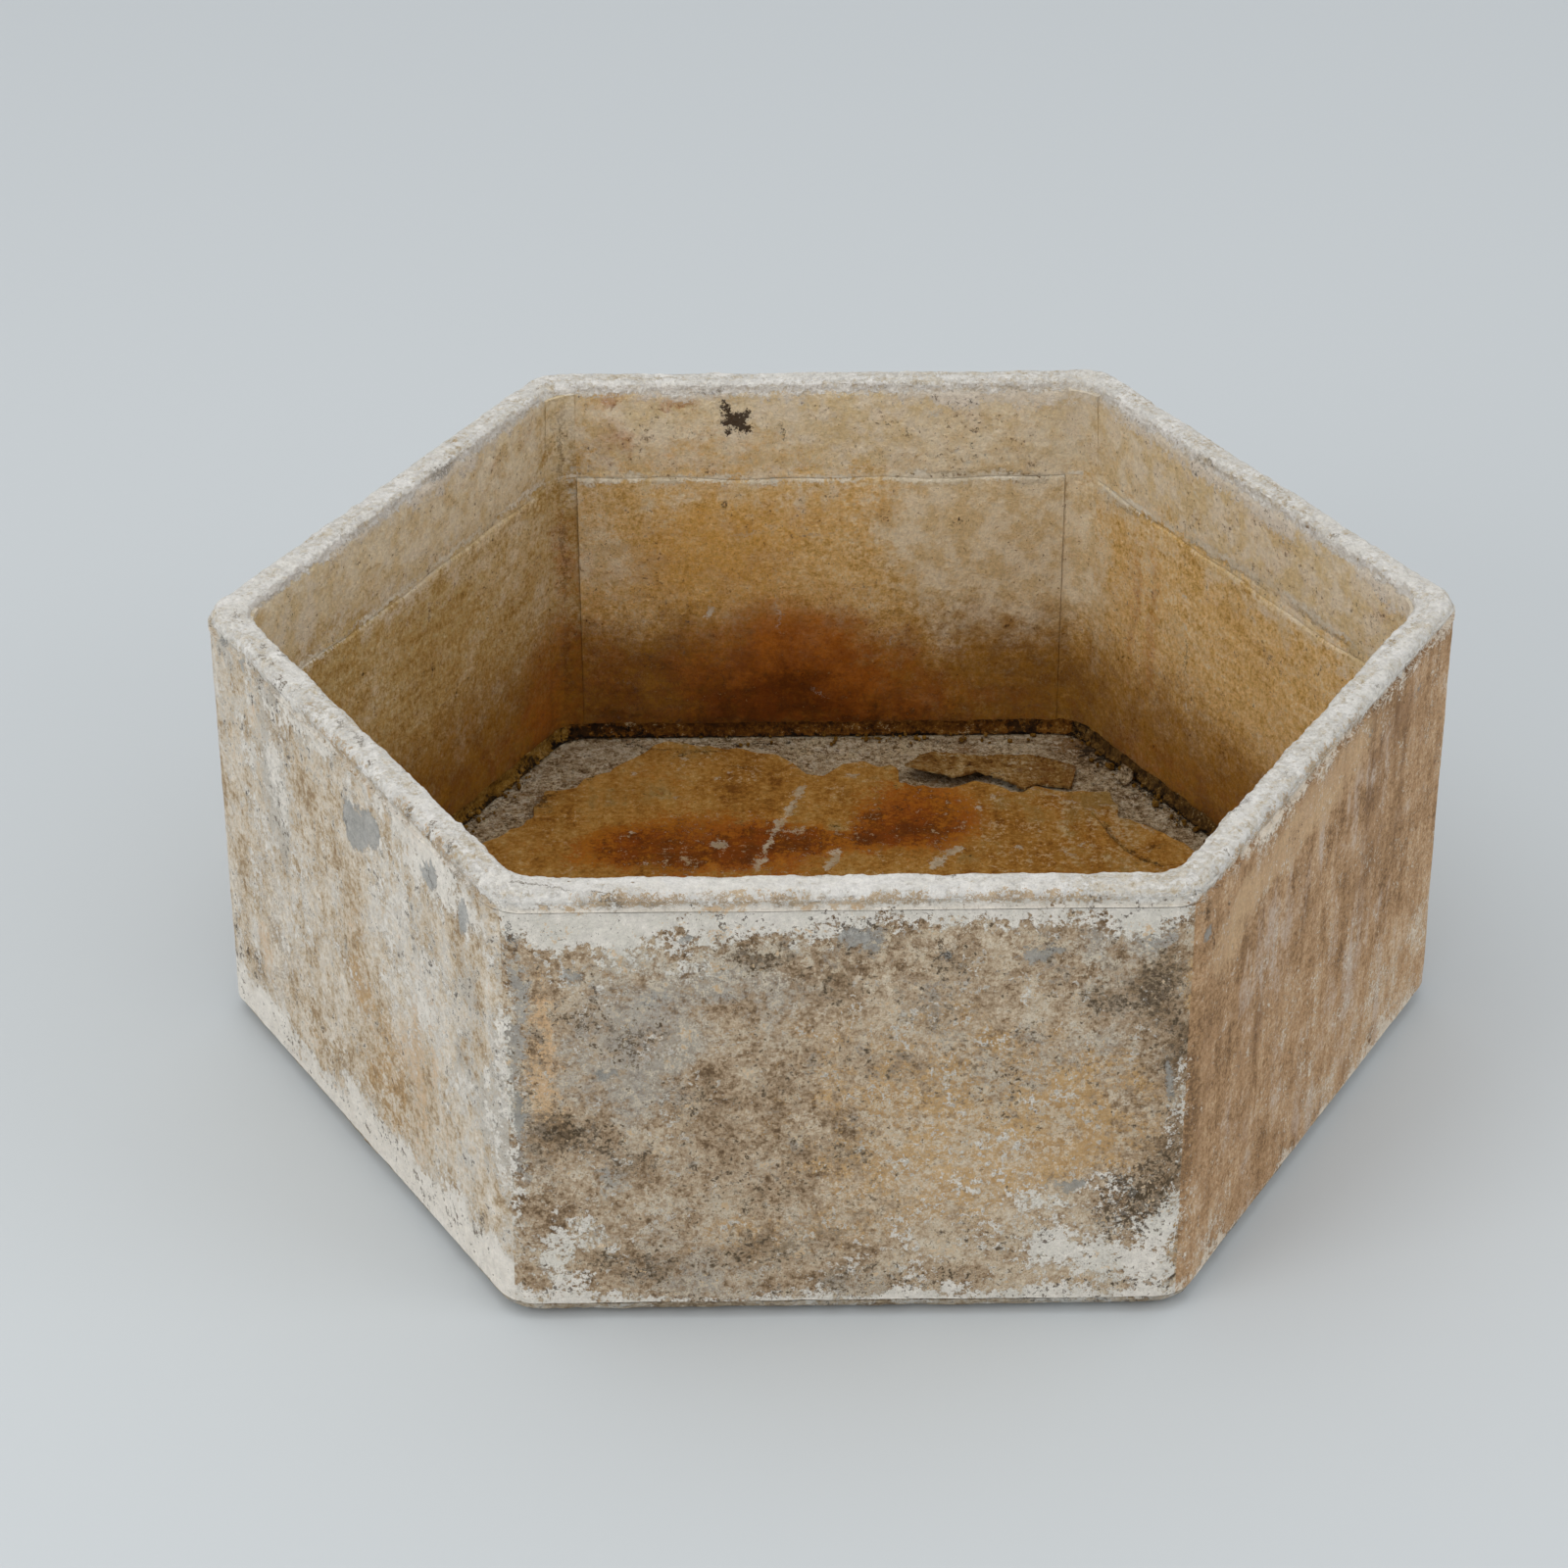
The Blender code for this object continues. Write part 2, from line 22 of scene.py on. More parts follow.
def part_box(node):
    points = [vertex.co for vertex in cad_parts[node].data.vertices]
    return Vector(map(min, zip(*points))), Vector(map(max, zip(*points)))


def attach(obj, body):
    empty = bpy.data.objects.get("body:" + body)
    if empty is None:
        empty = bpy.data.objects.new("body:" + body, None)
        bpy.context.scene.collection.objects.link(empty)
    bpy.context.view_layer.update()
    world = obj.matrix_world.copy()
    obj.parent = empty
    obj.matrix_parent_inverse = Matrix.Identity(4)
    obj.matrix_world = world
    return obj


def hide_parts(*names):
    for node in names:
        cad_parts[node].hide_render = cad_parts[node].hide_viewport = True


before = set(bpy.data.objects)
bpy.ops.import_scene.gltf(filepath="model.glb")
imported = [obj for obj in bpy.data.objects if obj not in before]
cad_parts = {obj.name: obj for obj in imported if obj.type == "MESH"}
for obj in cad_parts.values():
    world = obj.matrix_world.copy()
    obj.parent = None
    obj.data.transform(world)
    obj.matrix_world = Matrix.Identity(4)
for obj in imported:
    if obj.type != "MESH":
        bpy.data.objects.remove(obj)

log = logging.getLogger("planter")

SIDES = 6
STEP_ANGLE = 2 * math.pi / SIDES
HALF_STEP = STEP_ANGLE / 2
SIDE_NAMES = ("front", "front_right", "back_right", "back", "back_left", "front_left")
CORNER_NAMES = ("front_left", "front_right", "right", "back_right", "back_left", "left")
BODY = "root"
MILLIMETRE = 0.001
SAME_PLACE = 1e-6  # vertices nearer than this, in metres, are one
LEVEL_SLACK = 1e-5  # how far a roughened flat face may be from its height
PATTERNS = ("Broad", "Middle", "Fine", "Strokes")
PATTERN_PARTS = 3  # separate patterns in each cloud pattern
MIX_INPUTS = (0, 6, 7)  # the Mix node's share and its two colours
MIX_RESULT = 2

Socket = bpy.types.NodeSocket
Piece = bpy.types.Object
Material = bpy.types.Material
Planes = list[tuple[Vector, Vector]]


class Side(Enum):
    """The planter's sides, anticlockwise from the front."""

    FRONT = 0
    FRONT_RIGHT = 1
    BACK_RIGHT = 2
    BACK = 3
    BACK_LEFT = 4
    FRONT_LEFT = 5


class Slot(Enum):
    """The record's finishes."""

    BASE = "base_sheet"
    BACKING = "pebbly_backing"
    PLY = "floor_ply"
    WALL = "weathered_wall"
    RIM = "chalky_rim"
    LINING = "ochre_lining"
    STRIP = "corner_strip"
    COVE = "floor_cove"


# Places on the hexagon

def side_angle(side: int) -> float:
    """Direction in which a side faces."""
    return -math.pi / 2 + side * STEP_ANGLE


def corner_angle(corner: int) -> float:
    """Direction of a corner."""
    return side_angle(corner) - HALF_STEP


def direction(angle: float) -> Vector:
    """Level direction at an angle from +X."""
    return Vector((math.cos(angle), math.sin(angle), 0))


def side_distances(points: np.ndarray) -> np.ndarray:
    """How far out each of the points lies, square to the side that it is nearest to."""
    facings = np.array([direction(side_angle(side)) for side in range(SIDES)])
    return (points @ facings.T).max(axis=1)


def waves(angles: np.ndarray, terms: Sequence[tuple[int, float]]) -> np.ndarray:
    """Waves round the planter, between -1 and 1, from how many there are in a turn and where they start."""
    return sum(np.sin(count * angles + start) for count, start in terms) / len(terms)


# Meshes

def activate(piece: Piece) -> None:
    """Make a piece the only selected and active one."""
    bpy.ops.object.select_all(action="DESELECT")
    piece.select_set(True)
    bpy.context.view_layer.objects.active = piece


def add_object(name: str, data: bpy.types.ID) -> Piece:
    """A new object in the scene, for a mesh, curve, camera or lamp."""
    piece = bpy.data.objects.new(name, data)
    bpy.context.scene.collection.objects.link(piece)
    return piece


def drop(piece: Piece) -> None:
    """Remove a piece that others were made from."""
    mesh = piece.data
    bpy.data.objects.remove(piece)
    bpy.data.meshes.remove(mesh)


@contextmanager
def editing(piece: Piece) -> Iterator[bmesh.types.BMesh]:
    """Edit mode on one piece, with all of it selected."""
    activate(piece)
    bpy.ops.object.mode_set(mode="EDIT")
    bpy.ops.mesh.select_mode(type="VERT")
    bpy.ops.mesh.select_all(action="SELECT")
    try:
        yield bmesh.from_edit_mesh(piece.data)
    finally:
        bpy.ops.object.mode_set(mode="OBJECT")


def select_edges(piece: Piece, bm: bmesh.types.BMesh, test: Callable[[bmesh.types.BMEdge], bool]) -> None:
    """Select the edges that pass a test, and nothing else."""
    bpy.ops.mesh.select_mode(type="EDGE")
    bpy.ops.mesh.select_all(action="DESELECT")
    for edge in bm.edges:
        edge.select = test(edge)
    bmesh.update_edit_mesh(piece.data)


def points_of(piece: Piece) -> np.ndarray:
    """All the places of a piece's vertices, one row each."""
    points = np.empty(len(piece.data.vertices) * 3)
    piece.data.vertices.foreach_get("co", points)
    return points.reshape(-1, 3)


def move_points(piece: Piece, points: np.ndarray) -> None:
    """Put a piece's vertices at new places."""
    piece.data.vertices.foreach_set("co", points.ravel())
    piece.data.update()


def weigh(piece: Piece, name: str, weights: np.ndarray) -> None:
    """Give a piece a vertex group.

    Args:
        piece: the piece.
        name: the group's name.
        weights: one weight for each vertex.
    """
    group = piece.vertex_groups.new(name=name)
    steps = 20
    levels = np.round(np.clip(weights, 0, 1) * steps).astype(int)
    for level in np.unique(levels):
        if level > 0:
            group.add([int(i) for i in np.nonzero(levels == level)[0]], level / steps, "REPLACE")


@dataclass(frozen=True)
class Roughness:
    """One layer of unevenness in a surface."""

    size: float  # distance from hump to hump
    depth: float  # from the lowest to the highest point
    outward: float = 0.5  # share of the depth that stands proud of the plain surface
    detail: int = 2  # how many finer layers are folded in
    hard: bool = False  # sharp creases in place of soft humps


def roughen(piece: Piece, group: str, layers: Sequence[Roughness]) -> None:
    """Displace a piece's surface by layers of clouds, square to itself.

    Args:
        piece: the piece.
        group: vertex group that says where, or nothing for all of it.
        layers: the unevenness to add.
    """
    activate(piece)
    for number, layer in enumerate(layers):
        texture = bpy.data.textures.new(f"{piece.name}_rough_{number}", "CLOUDS")
        texture.noise_scale = layer.size
        texture.noise_depth = layer.detail
        texture.noise_type = "HARD_NOISE" if layer.hard else "SOFT_NOISE"
        modifier = piece.modifiers.new("rough", "DISPLACE")
        modifier.texture = texture
        modifier.texture_coords = "LOCAL"
        modifier.strength = layer.depth
        modifier.mid_level = 1 - layer.outward
        modifier.vertex_group = group
        bpy.ops.object.modifier_apply(modifier="rough")


def smooth_faces(piece: Piece, sharp_degrees: float = 50.0) -> None:
    """Shade a piece smoothly, apart from edges sharper than an angle."""
    activate(piece)
    bpy.ops.object.shade_smooth_by_angle(angle=math.radians(sharp_degrees))


@dataclass(frozen=True)
class Section:
    """One outline of a swept ring."""

    distance: float  # from the middle to the flat sides
    height: float  # above the floor that the planter stands on
    rows: int = 1  # rows of faces up to this outline from the one before


def quarter(start: tuple[float, float], end: tuple[float, float], outer_first: bool, steps: int) -> list[Section]:
    """Outlines of a rounded edge between two places in an upright section.

    Args:
        start: distance and height where the round begins.
        end: distance and height where it ends.
        outer_first: whether the round leaves its start upright, and not level.
        steps: how many faces it has.

    Returns:
        The outlines after the start.
    """
    sections = []
    for step in range(1, steps + 1):
        turn = math.pi / 2 * step / steps
        slow, fast = 1 - math.cos(turn), math.sin(turn)
        across, up = (slow, fast) if outer_first else (fast, slow)
        distance = start[0] + (end[0] - start[0]) * across
        height = start[1] + (end[1] - start[1]) * up
        sections.append(Section(distance, height))
    return sections


@dataclass(frozen=True)
class RingMaker:
    """Sweeps rings round the planter and cuts sheets out of them."""

    corner_radius: float
    corner_steps: int = 12
    side_cuts: tuple[int, int] = (13, 11)  # cuts along each side, made in two goes
    long_share: float = 0.03  # least length of an edge that is cut, as a share of its side's distance
    least_turn: float = 1e-4  # least angle that such an edge spans, seen from the middle
    most_radial: float = 0.9  # most that it may point to the middle, as a cosine
    cut_margin: float = 0.01  # how far past a cutting plane whole faces are deleted before the cut
    cut_slack: float = 1e-7  # vertices nearer to a cutting plane than this lie on it

    def outline(self, name: str, section: Section) -> Piece:
        """A closed line round the planter, with rounded corners.

        Args:
            name: name of the new piece.
            section: where the line runs.

        Returns:
            The piece, with edges and no faces.
        """
        bpy.ops.object.select_all(action="DESELECT")
        reach = section.distance / math.cos(HALF_STEP)
        bpy.ops.mesh.primitive_circle_add(vertices=SIDES, radius=reach, fill_type="NOTHING",
                                          rotation=(0, 0, HALF_STEP), location=(0, 0, section.height))
        piece = bpy.context.object
        piece.name = name
        bpy.ops.object.transform_apply(location=True, rotation=True, scale=True)
        with editing(piece):
            bpy.ops.mesh.bevel(affect="VERTICES", offset=self.corner_radius * math.tan(HALF_STEP),
                               segments=self.corner_steps, offset_type="OFFSET")
        return piece

    def sweep(self, name: str, sections: Sequence[Section], closed: bool = True) -> Piece:
        """A ring through a row of outlines.

        Args:
            name: name of the new piece.
            sections: the outlines, each a step on from the one before.
            closed: whether the last outline joins the first.

        Returns:
            The ring, with its sides cut into narrow columns.
        """
        first = sections[0]
        piece = self.outline(name, first)
        last = (Section(first.distance, first.height, first.rows),) if closed else ()
        with editing(piece):
            before = first
            for section in (*sections[1:], *last):
                for row in range(1, section.rows + 1):
                    here = before.distance + (section.distance - before.distance) * row / section.rows
                    gone = before.distance + (section.distance - before.distance) * (row - 1) / section.rows
                    rise = (section.height - before.height) / section.rows
                    bpy.ops.mesh.extrude_region_move(TRANSFORM_OT_translate={"value": (0, 0, rise)})
                    bpy.ops.transform.resize(value=(here / gone, here / gone, 1), center_override=(0, 0, 0))
                before = section
            bpy.ops.mesh.select_all(action="SELECT")
            bpy.ops.mesh.remove_doubles(threshold=SAME_PLACE)
            for cuts in self.side_cuts:
                select_edges(piece, bmesh.from_edit_mesh(piece.data), self._runs_along)
                bpy.ops.mesh.subdivide(number_cuts=cuts)
            bpy.ops.mesh.select_all(action="SELECT")
            bpy.ops.mesh.normals_make_consistent(inside=False)
        return piece

    def _runs_along(self, edge: bmesh.types.BMEdge) -> bool:
        """Whether an edge is one of the long level ones along a flat side."""
        start, end = (vert.co for vert in edge.verts)
        if abs(start.z - end.z) >= SAME_PLACE:
            return False
        middle = (start + end) / 2
        radial = abs((end - start).normalized().dot(middle.normalized())) if middle.length else 1
        turned = abs(math.atan2(start.x * end.y - start.y * end.x, start.xy.dot(end.xy)))
        return turned > self.least_turn and radial < self.most_radial and self._on_flat(start, end)

    def _on_flat(self, start: Vector, end: Vector) -> bool:
        """Whether both ends of an edge are equally far out on one side, a long way apart."""
        for side in range(SIDES):
            facing = direction(side_angle(side))
            distance = start.dot(facing)
            if abs(distance - end.dot(facing)) < SAME_PLACE and distance > 0:
                return (end - start).length > self.long_share * distance
        return False

    def cut_out(self, ring: Piece, name: str, planes: Planes) -> Piece:
        """A sheet cut from a ring between upright planes, and closed where it was cut.

        Args:
            ring: the ring, which stays whole.
            name: name of the sheet.
            planes: for each plane a place on it and the direction out of the sheet.

        Returns:
            The sheet.
        """
        sheet = add_object(name, ring.data.copy())
        with editing(sheet) as bm:
            bpy.ops.mesh.select_mode(type="VERT")
            bpy.ops.mesh.select_all(action="DESELECT")
            for vert in bm.verts:
                vert.select = any((vert.co - place).dot(out) > self.cut_margin for place, out in planes)
            bmesh.update_edit_mesh(sheet.data)
            bpy.ops.mesh.delete(type="VERT")
            for place, out in planes:
                bpy.ops.mesh.select_all(action="SELECT")
                bpy.ops.mesh.bisect(plane_co=place, plane_no=out, use_fill=True, clear_outer=True,
                                    threshold=self.cut_slack)
        return sheet


def mitre_planes(side: int) -> Planes:
    """The planes through the middle of the planter between which a side lies."""
    facing = side_angle(side)
    out = HALF_STEP + math.pi / 2
    return [(Vector(), direction(facing + out)), (Vector(), direction(facing - out))]


def strip_planes(side: int, half_width: float) -> Planes:
    """Planes square to a side, the same way to each side of its middle."""
    facing = side_angle(side)
    along = direction(facing + math.pi / 2)
    behind = -direction(facing)
    return [(along * half_width, along), (-along * half_width, -along), (Vector(), behind)]


def corner_planes(corner: int, edge: float) -> Planes:
    """Planes round an inner corner, each square to one of its sides at a way along it."""
    before = direction(side_angle(corner - 1) + math.pi / 2)
    after = direction(side_angle(corner) - math.pi / 2)
    return [(before * edge, -before), (after * edge, -after), (Vector(), -direction(corner_angle(corner)))]


# Node trees

def colour(code: str) -> tuple[float, float, float, float]:
    """The linear colour of a screen colour, which has two hexadecimal digits for each part."""
    shares = [int(code[i:i + 2], 16) / 255 for i in (0, 2, 4)]
    return (*(s / 12.92 if s <= 0.04045 else ((s + 0.055) / 1.055) ** 2.4 for s in shares), 1.0)


class Graph:
    """Adds and links the nodes of one node tree."""

    def __init__(self, tree: bpy.types.NodeTree) -> None:
        """Work on a tree."""
        self.tree = tree

    def add(self, kind: str, **settings: object) -> bpy.types.Node:
        """A new shader node with its settings."""
        node = self.tree.nodes.new("ShaderNode" + kind)
        for name, value in settings.items():
            setattr(node, name, value)
        return node

    def feed(self, socket: Socket, value: object) -> None:
        """Link a socket to another, or set its value."""
        if isinstance(value, Socket):
            self.tree.links.new(value, socket)
        else:
            socket.default_value = value

    def math(self, operation: str, *values: object) -> Socket:
        """Arithmetic on numbers."""
        node = self.add("Math", operation=operation)
        for socket, value in zip(node.inputs, values):
            self.feed(socket, value)
        return node.outputs[0]

    def vector(self, operation: str, *values: object) -> Socket:
        """Arithmetic on vectors."""
        node = self.add("VectorMath", operation=operation)
        for socket, value in zip(node.inputs, values):
            self.feed(socket, value)
        return node.outputs["Value" if operation == "DOT_PRODUCT" else "Vector"]

    def mix(self, share: object, first: object, second: object) -> Socket:
        """The first colour, or the second where the share is 1."""
        node = self.add("Mix", data_type="RGBA", clamp_factor=True)
        for index, value in zip(MIX_INPUTS, (share, first, second)):
            self.feed(node.inputs[index], value)
        return node.outputs[MIX_RESULT]

    def remap(self, value: object, low: object, high: object, start: object = 0.0, end: object = 1.0) -> Socket:
        """A number eased from one range to another, and held at its ends."""
        node = self.add("MapRange", interpolation_type="SMOOTHSTEP")
        for socket, part in zip(node.inputs, (value, low, high, start, end)):
            self.feed(socket, part)
        return node.outputs[0]

    def use(self, group: bpy.types.NodeTree, **values: object) -> bpy.types.Node:
        """Place a node group and feed its inputs by name."""
        node = self.add("Group", node_tree=group)
        for name, value in values.items():
            self.feed(node.inputs[name.replace("_", " ").title()], value)
        return node


class GroupGraph(Graph):
    """A node group with named inputs and outputs."""

    def __init__(self, name: str, inputs: dict[str, float | None], outputs: Sequence[str], kind: str) -> None:
        """Start a group.

        Args:
            name: the group's name.
            inputs: each input's name with its value, or None for a vector.
            outputs: each output's name.
            kind: what the outputs hold, Float or Color.
        """
        super().__init__(bpy.data.node_groups.new(name, "ShaderNodeTree"))
        for label, value in inputs.items():
            given = "NodeSocketVector" if value is None else "NodeSocketFloat"
            socket = self.tree.interface.new_socket(name=label, in_out="INPUT", socket_type=given)
            if value is not None:
                socket.default_value = value
        for label in outputs:
            self.tree.interface.new_socket(name=label, in_out="OUTPUT", socket_type="NodeSocket" + kind)
        self.given = self.tree.nodes.new("NodeGroupInput").outputs
        self.wanted = self.tree.nodes.new("NodeGroupOutput").inputs


def cloud_patterns_group() -> bpy.types.NodeTree:
    """Clouds of three sizes and drawn-out strokes, each as three patterns about zero."""
    # Each pattern's name, detail and roughness, and the gain that makes all equally strong
    layers = (("Broad", 2.0, 0.5, 6.0), ("Middle", 4.0, 0.66, 7.5), ("Fine", 5.0, 0.85, 10.0),
              ("Strokes", 3.0, 0.6, 6.5))
    inputs = {"Place": None, "Drawn Place": None}
    inputs.update({label + " Scale": 10.0 for label, *_ in layers})
    graph = GroupGraph("cloud_patterns", inputs, [label for label, *_ in layers], "Color")
    for label, detail, roughness, gain in layers:
        clouds = graph.add("TexNoise")
        place = graph.given["Drawn Place" if label == "Strokes" else "Place"]
        for name, value in (("Vector", place), ("Scale", graph.given[label + " Scale"]), ("Detail", detail),
                            ("Roughness", roughness)):
            graph.feed(clouds.inputs[name], value)
        centred = graph.vector("SUBTRACT", clouds.outputs["Color"], (0.5, 0.5, 0.5))
        graph.feed(graph.wanted[label], graph.vector("MULTIPLY", centred, (gain, gain, gain)))
    return graph.tree


def placed_mark_group() -> bpy.types.NodeTree:
    """An oval mark, from how many half lengths and half widths a place is away from its middle."""
    inputs = {"Place": None, "Lengthwise": None, "Crosswise": None, "Middle Length": 0.0, "Middle Width": 0.0,
              "Core": 0.0}
    graph = GroupGraph("placed_mark", inputs, ["Mask"], "Float")
    away: Socket | float = 0.0
    for axis, middle in (("Lengthwise", "Middle Length"), ("Crosswise", "Middle Width")):
        reach = graph.vector("DOT_PRODUCT", graph.given["Place"], graph.given[axis])
        off = graph.math("SUBTRACT", reach, graph.given[middle])
        away = graph.math("MULTIPLY_ADD", off, off, away)
    graph.feed(graph.wanted["Mask"], graph.remap(away, graph.given["Core"], 1.0, 1.0, 0.0))
    return graph.tree


def wash_group() -> bpy.types.NodeTree:
    """Where a thin wash shows: an amount, swayed by the cloud patterns and cut off at zero."""
    inputs: dict[str, float | None] = {"Amount": 0.0, "Softness": 0.3, "Strength": 1.0}
    for label in PATTERNS:
        inputs[label] = 0.0
        inputs[label + " Sway"] = 0.0
    graph = GroupGraph("wash", inputs, ["Mask"], "Float")
    total = graph.given["Amount"]
    for label in PATTERNS:
        total = graph.math("MULTIPLY_ADD", graph.given[label], graph.given[label + " Sway"], total)
    soft = graph.given["Softness"]
    shown = graph.remap(total, graph.math("SUBTRACT", 0.0, soft), soft)
    graph.feed(graph.wanted["Mask"], graph.math("MULTIPLY", shown, graph.given["Strength"]))
    return graph.tree


@dataclass(frozen=True)
class Effects:
    """The node groups that the finishes share."""

    patterns: bpy.types.NodeTree = field(default_factory=cloud_patterns_group)
    mark: bpy.types.NodeTree = field(default_factory=placed_mark_group)
    wash: bpy.types.NodeTree = field(default_factory=wash_group)


class Plane(Enum):
    """What a mark's two places are measured on."""

    SIDE = "way along the side, and height"
    TOP = "way along the side, and distance from the middle"


@dataclass(frozen=True)
class Mark:
    """An oval place, in millimetres and degrees."""

    along: float  # way along the side from its middle, or X on the floor
    up: float  # height above the ground, or distance from the middle, or Y on the floor
    half_length: float  # half its length
    half_width: float  # half its width
    turn: float = 0.0  # of its length away from level
    strength: float = 1.0  # how much it adds to a wash
    softness: float = 1.0  # share of it that fades out

    def axes(self) -> tuple[Vector, Vector]:
        """Directions along and across it, so long that they measure half lengths and half widths."""
        ahead = direction(math.radians(self.turn))
        aside = direction(math.radians(self.turn) + math.pi / 2)
        return ahead / (self.half_length * MILLIMETRE), aside / (self.half_width * MILLIMETRE)

    def top(self) -> float:
        """The height that it reaches."""
        turn = math.radians(self.turn)
        return self.up + abs(self.half_length * math.sin(turn)) + abs(self.half_width * math.cos(turn))


FAR_ACROSS = 3000.0  # half length of a mark that spans a side, in millimetres
LINE_OVERLAP = 0.62  # half length of a line's mark, as a share of its stretch
LINE_SOFTNESS = 0.7
DOT_WIDTH = 0.8  # of a dot's length
DOT_TURN = 20.0
DOT_SOFTNESS = 0.8


def line(points: Sequence[tuple[float, float]], width: float, strength: float = 2.0) -> tuple[Mark, ...]:
    """Marks along a bent line.

    Args:
        points: the line's corners, in millimetres.
        width: how wide it is.
        strength: how much it adds to a wash.

    Returns:
        One mark for each stretch.
    """
    stretches = []
    for (x, y), (next_x, next_y) in zip(points, points[1:]):
        length = math.hypot(next_x - x, next_y - y)
        turn = math.degrees(math.atan2(next_y - y, next_x - x))
        middle = ((x + next_x) / 2, (y + next_y) / 2)
        stretches.append(Mark(*middle, length * LINE_OVERLAP, width / 2, turn, strength, LINE_SOFTNESS))
    return tuple(stretches)


def dots(places: Sequence[tuple[float, float]], size: float, strength: float = 2.0) -> tuple[Mark, ...]:
    """Round marks of one size."""
    return tuple(Mark(x, y, size, size * DOT_WIDTH, DOT_TURN, strength, DOT_SOFTNESS) for x, y in places)


def marks(*rows: tuple[float, ...]) -> tuple[Mark, ...]:
    """Marks from rows of their values, in the order in which a mark has them."""
    return tuple(Mark(*row) for row in rows)


def band(height: float, reach: float, strength: float = 1.0, softness: float = 1.0) -> Mark:
    """A mark right across a side, centred at a height."""
    return Mark(0.0, height, FAR_ACROSS, reach, 0.0, strength, softness)


@dataclass(frozen=True)
class Wash:
    """A thin layer of colour that comes and goes."""

    tint: str  # its colour
    level: float  # how thick it lies away from its marks; it shows above zero
    sway: tuple[float, float, float, float]  # how far broad, middle and fine clouds and strokes change that
    marks: tuple[Mark, ...] = ()  # where it lies thicker, or thinner if their strength is negative
    softness: float = 0.4  # how gradually it starts
    strength: float = 0.9  # how well it covers
    relief: float = 0.0  # how far it stands proud, in millimetres
    pattern: int = 0  # which of the three cloud patterns it follows
    second: str = ""  # a colour that it is mottled with
    crisp: bool = False  # whether its marks keep their outline, and aren't scattered
    plane: Plane = Plane.SIDE  # what its marks are measured on


@dataclass(frozen=True)
class Clouds:
    """Size of the cloud patterns, in shapes for each metre."""

    broad: float = 8.0  # of the broad clouds
    middle: float = 40.0  # of the middle clouds
    fine: float = 180.0  # of the fine clouds
    strokes: float = 64.0  # of the strokes, across their length
    # How much the strokes are squeezed along the side, upwards and outwards
    drawn: tuple[float, float, float] = (0.13, 1.0, 1.0)


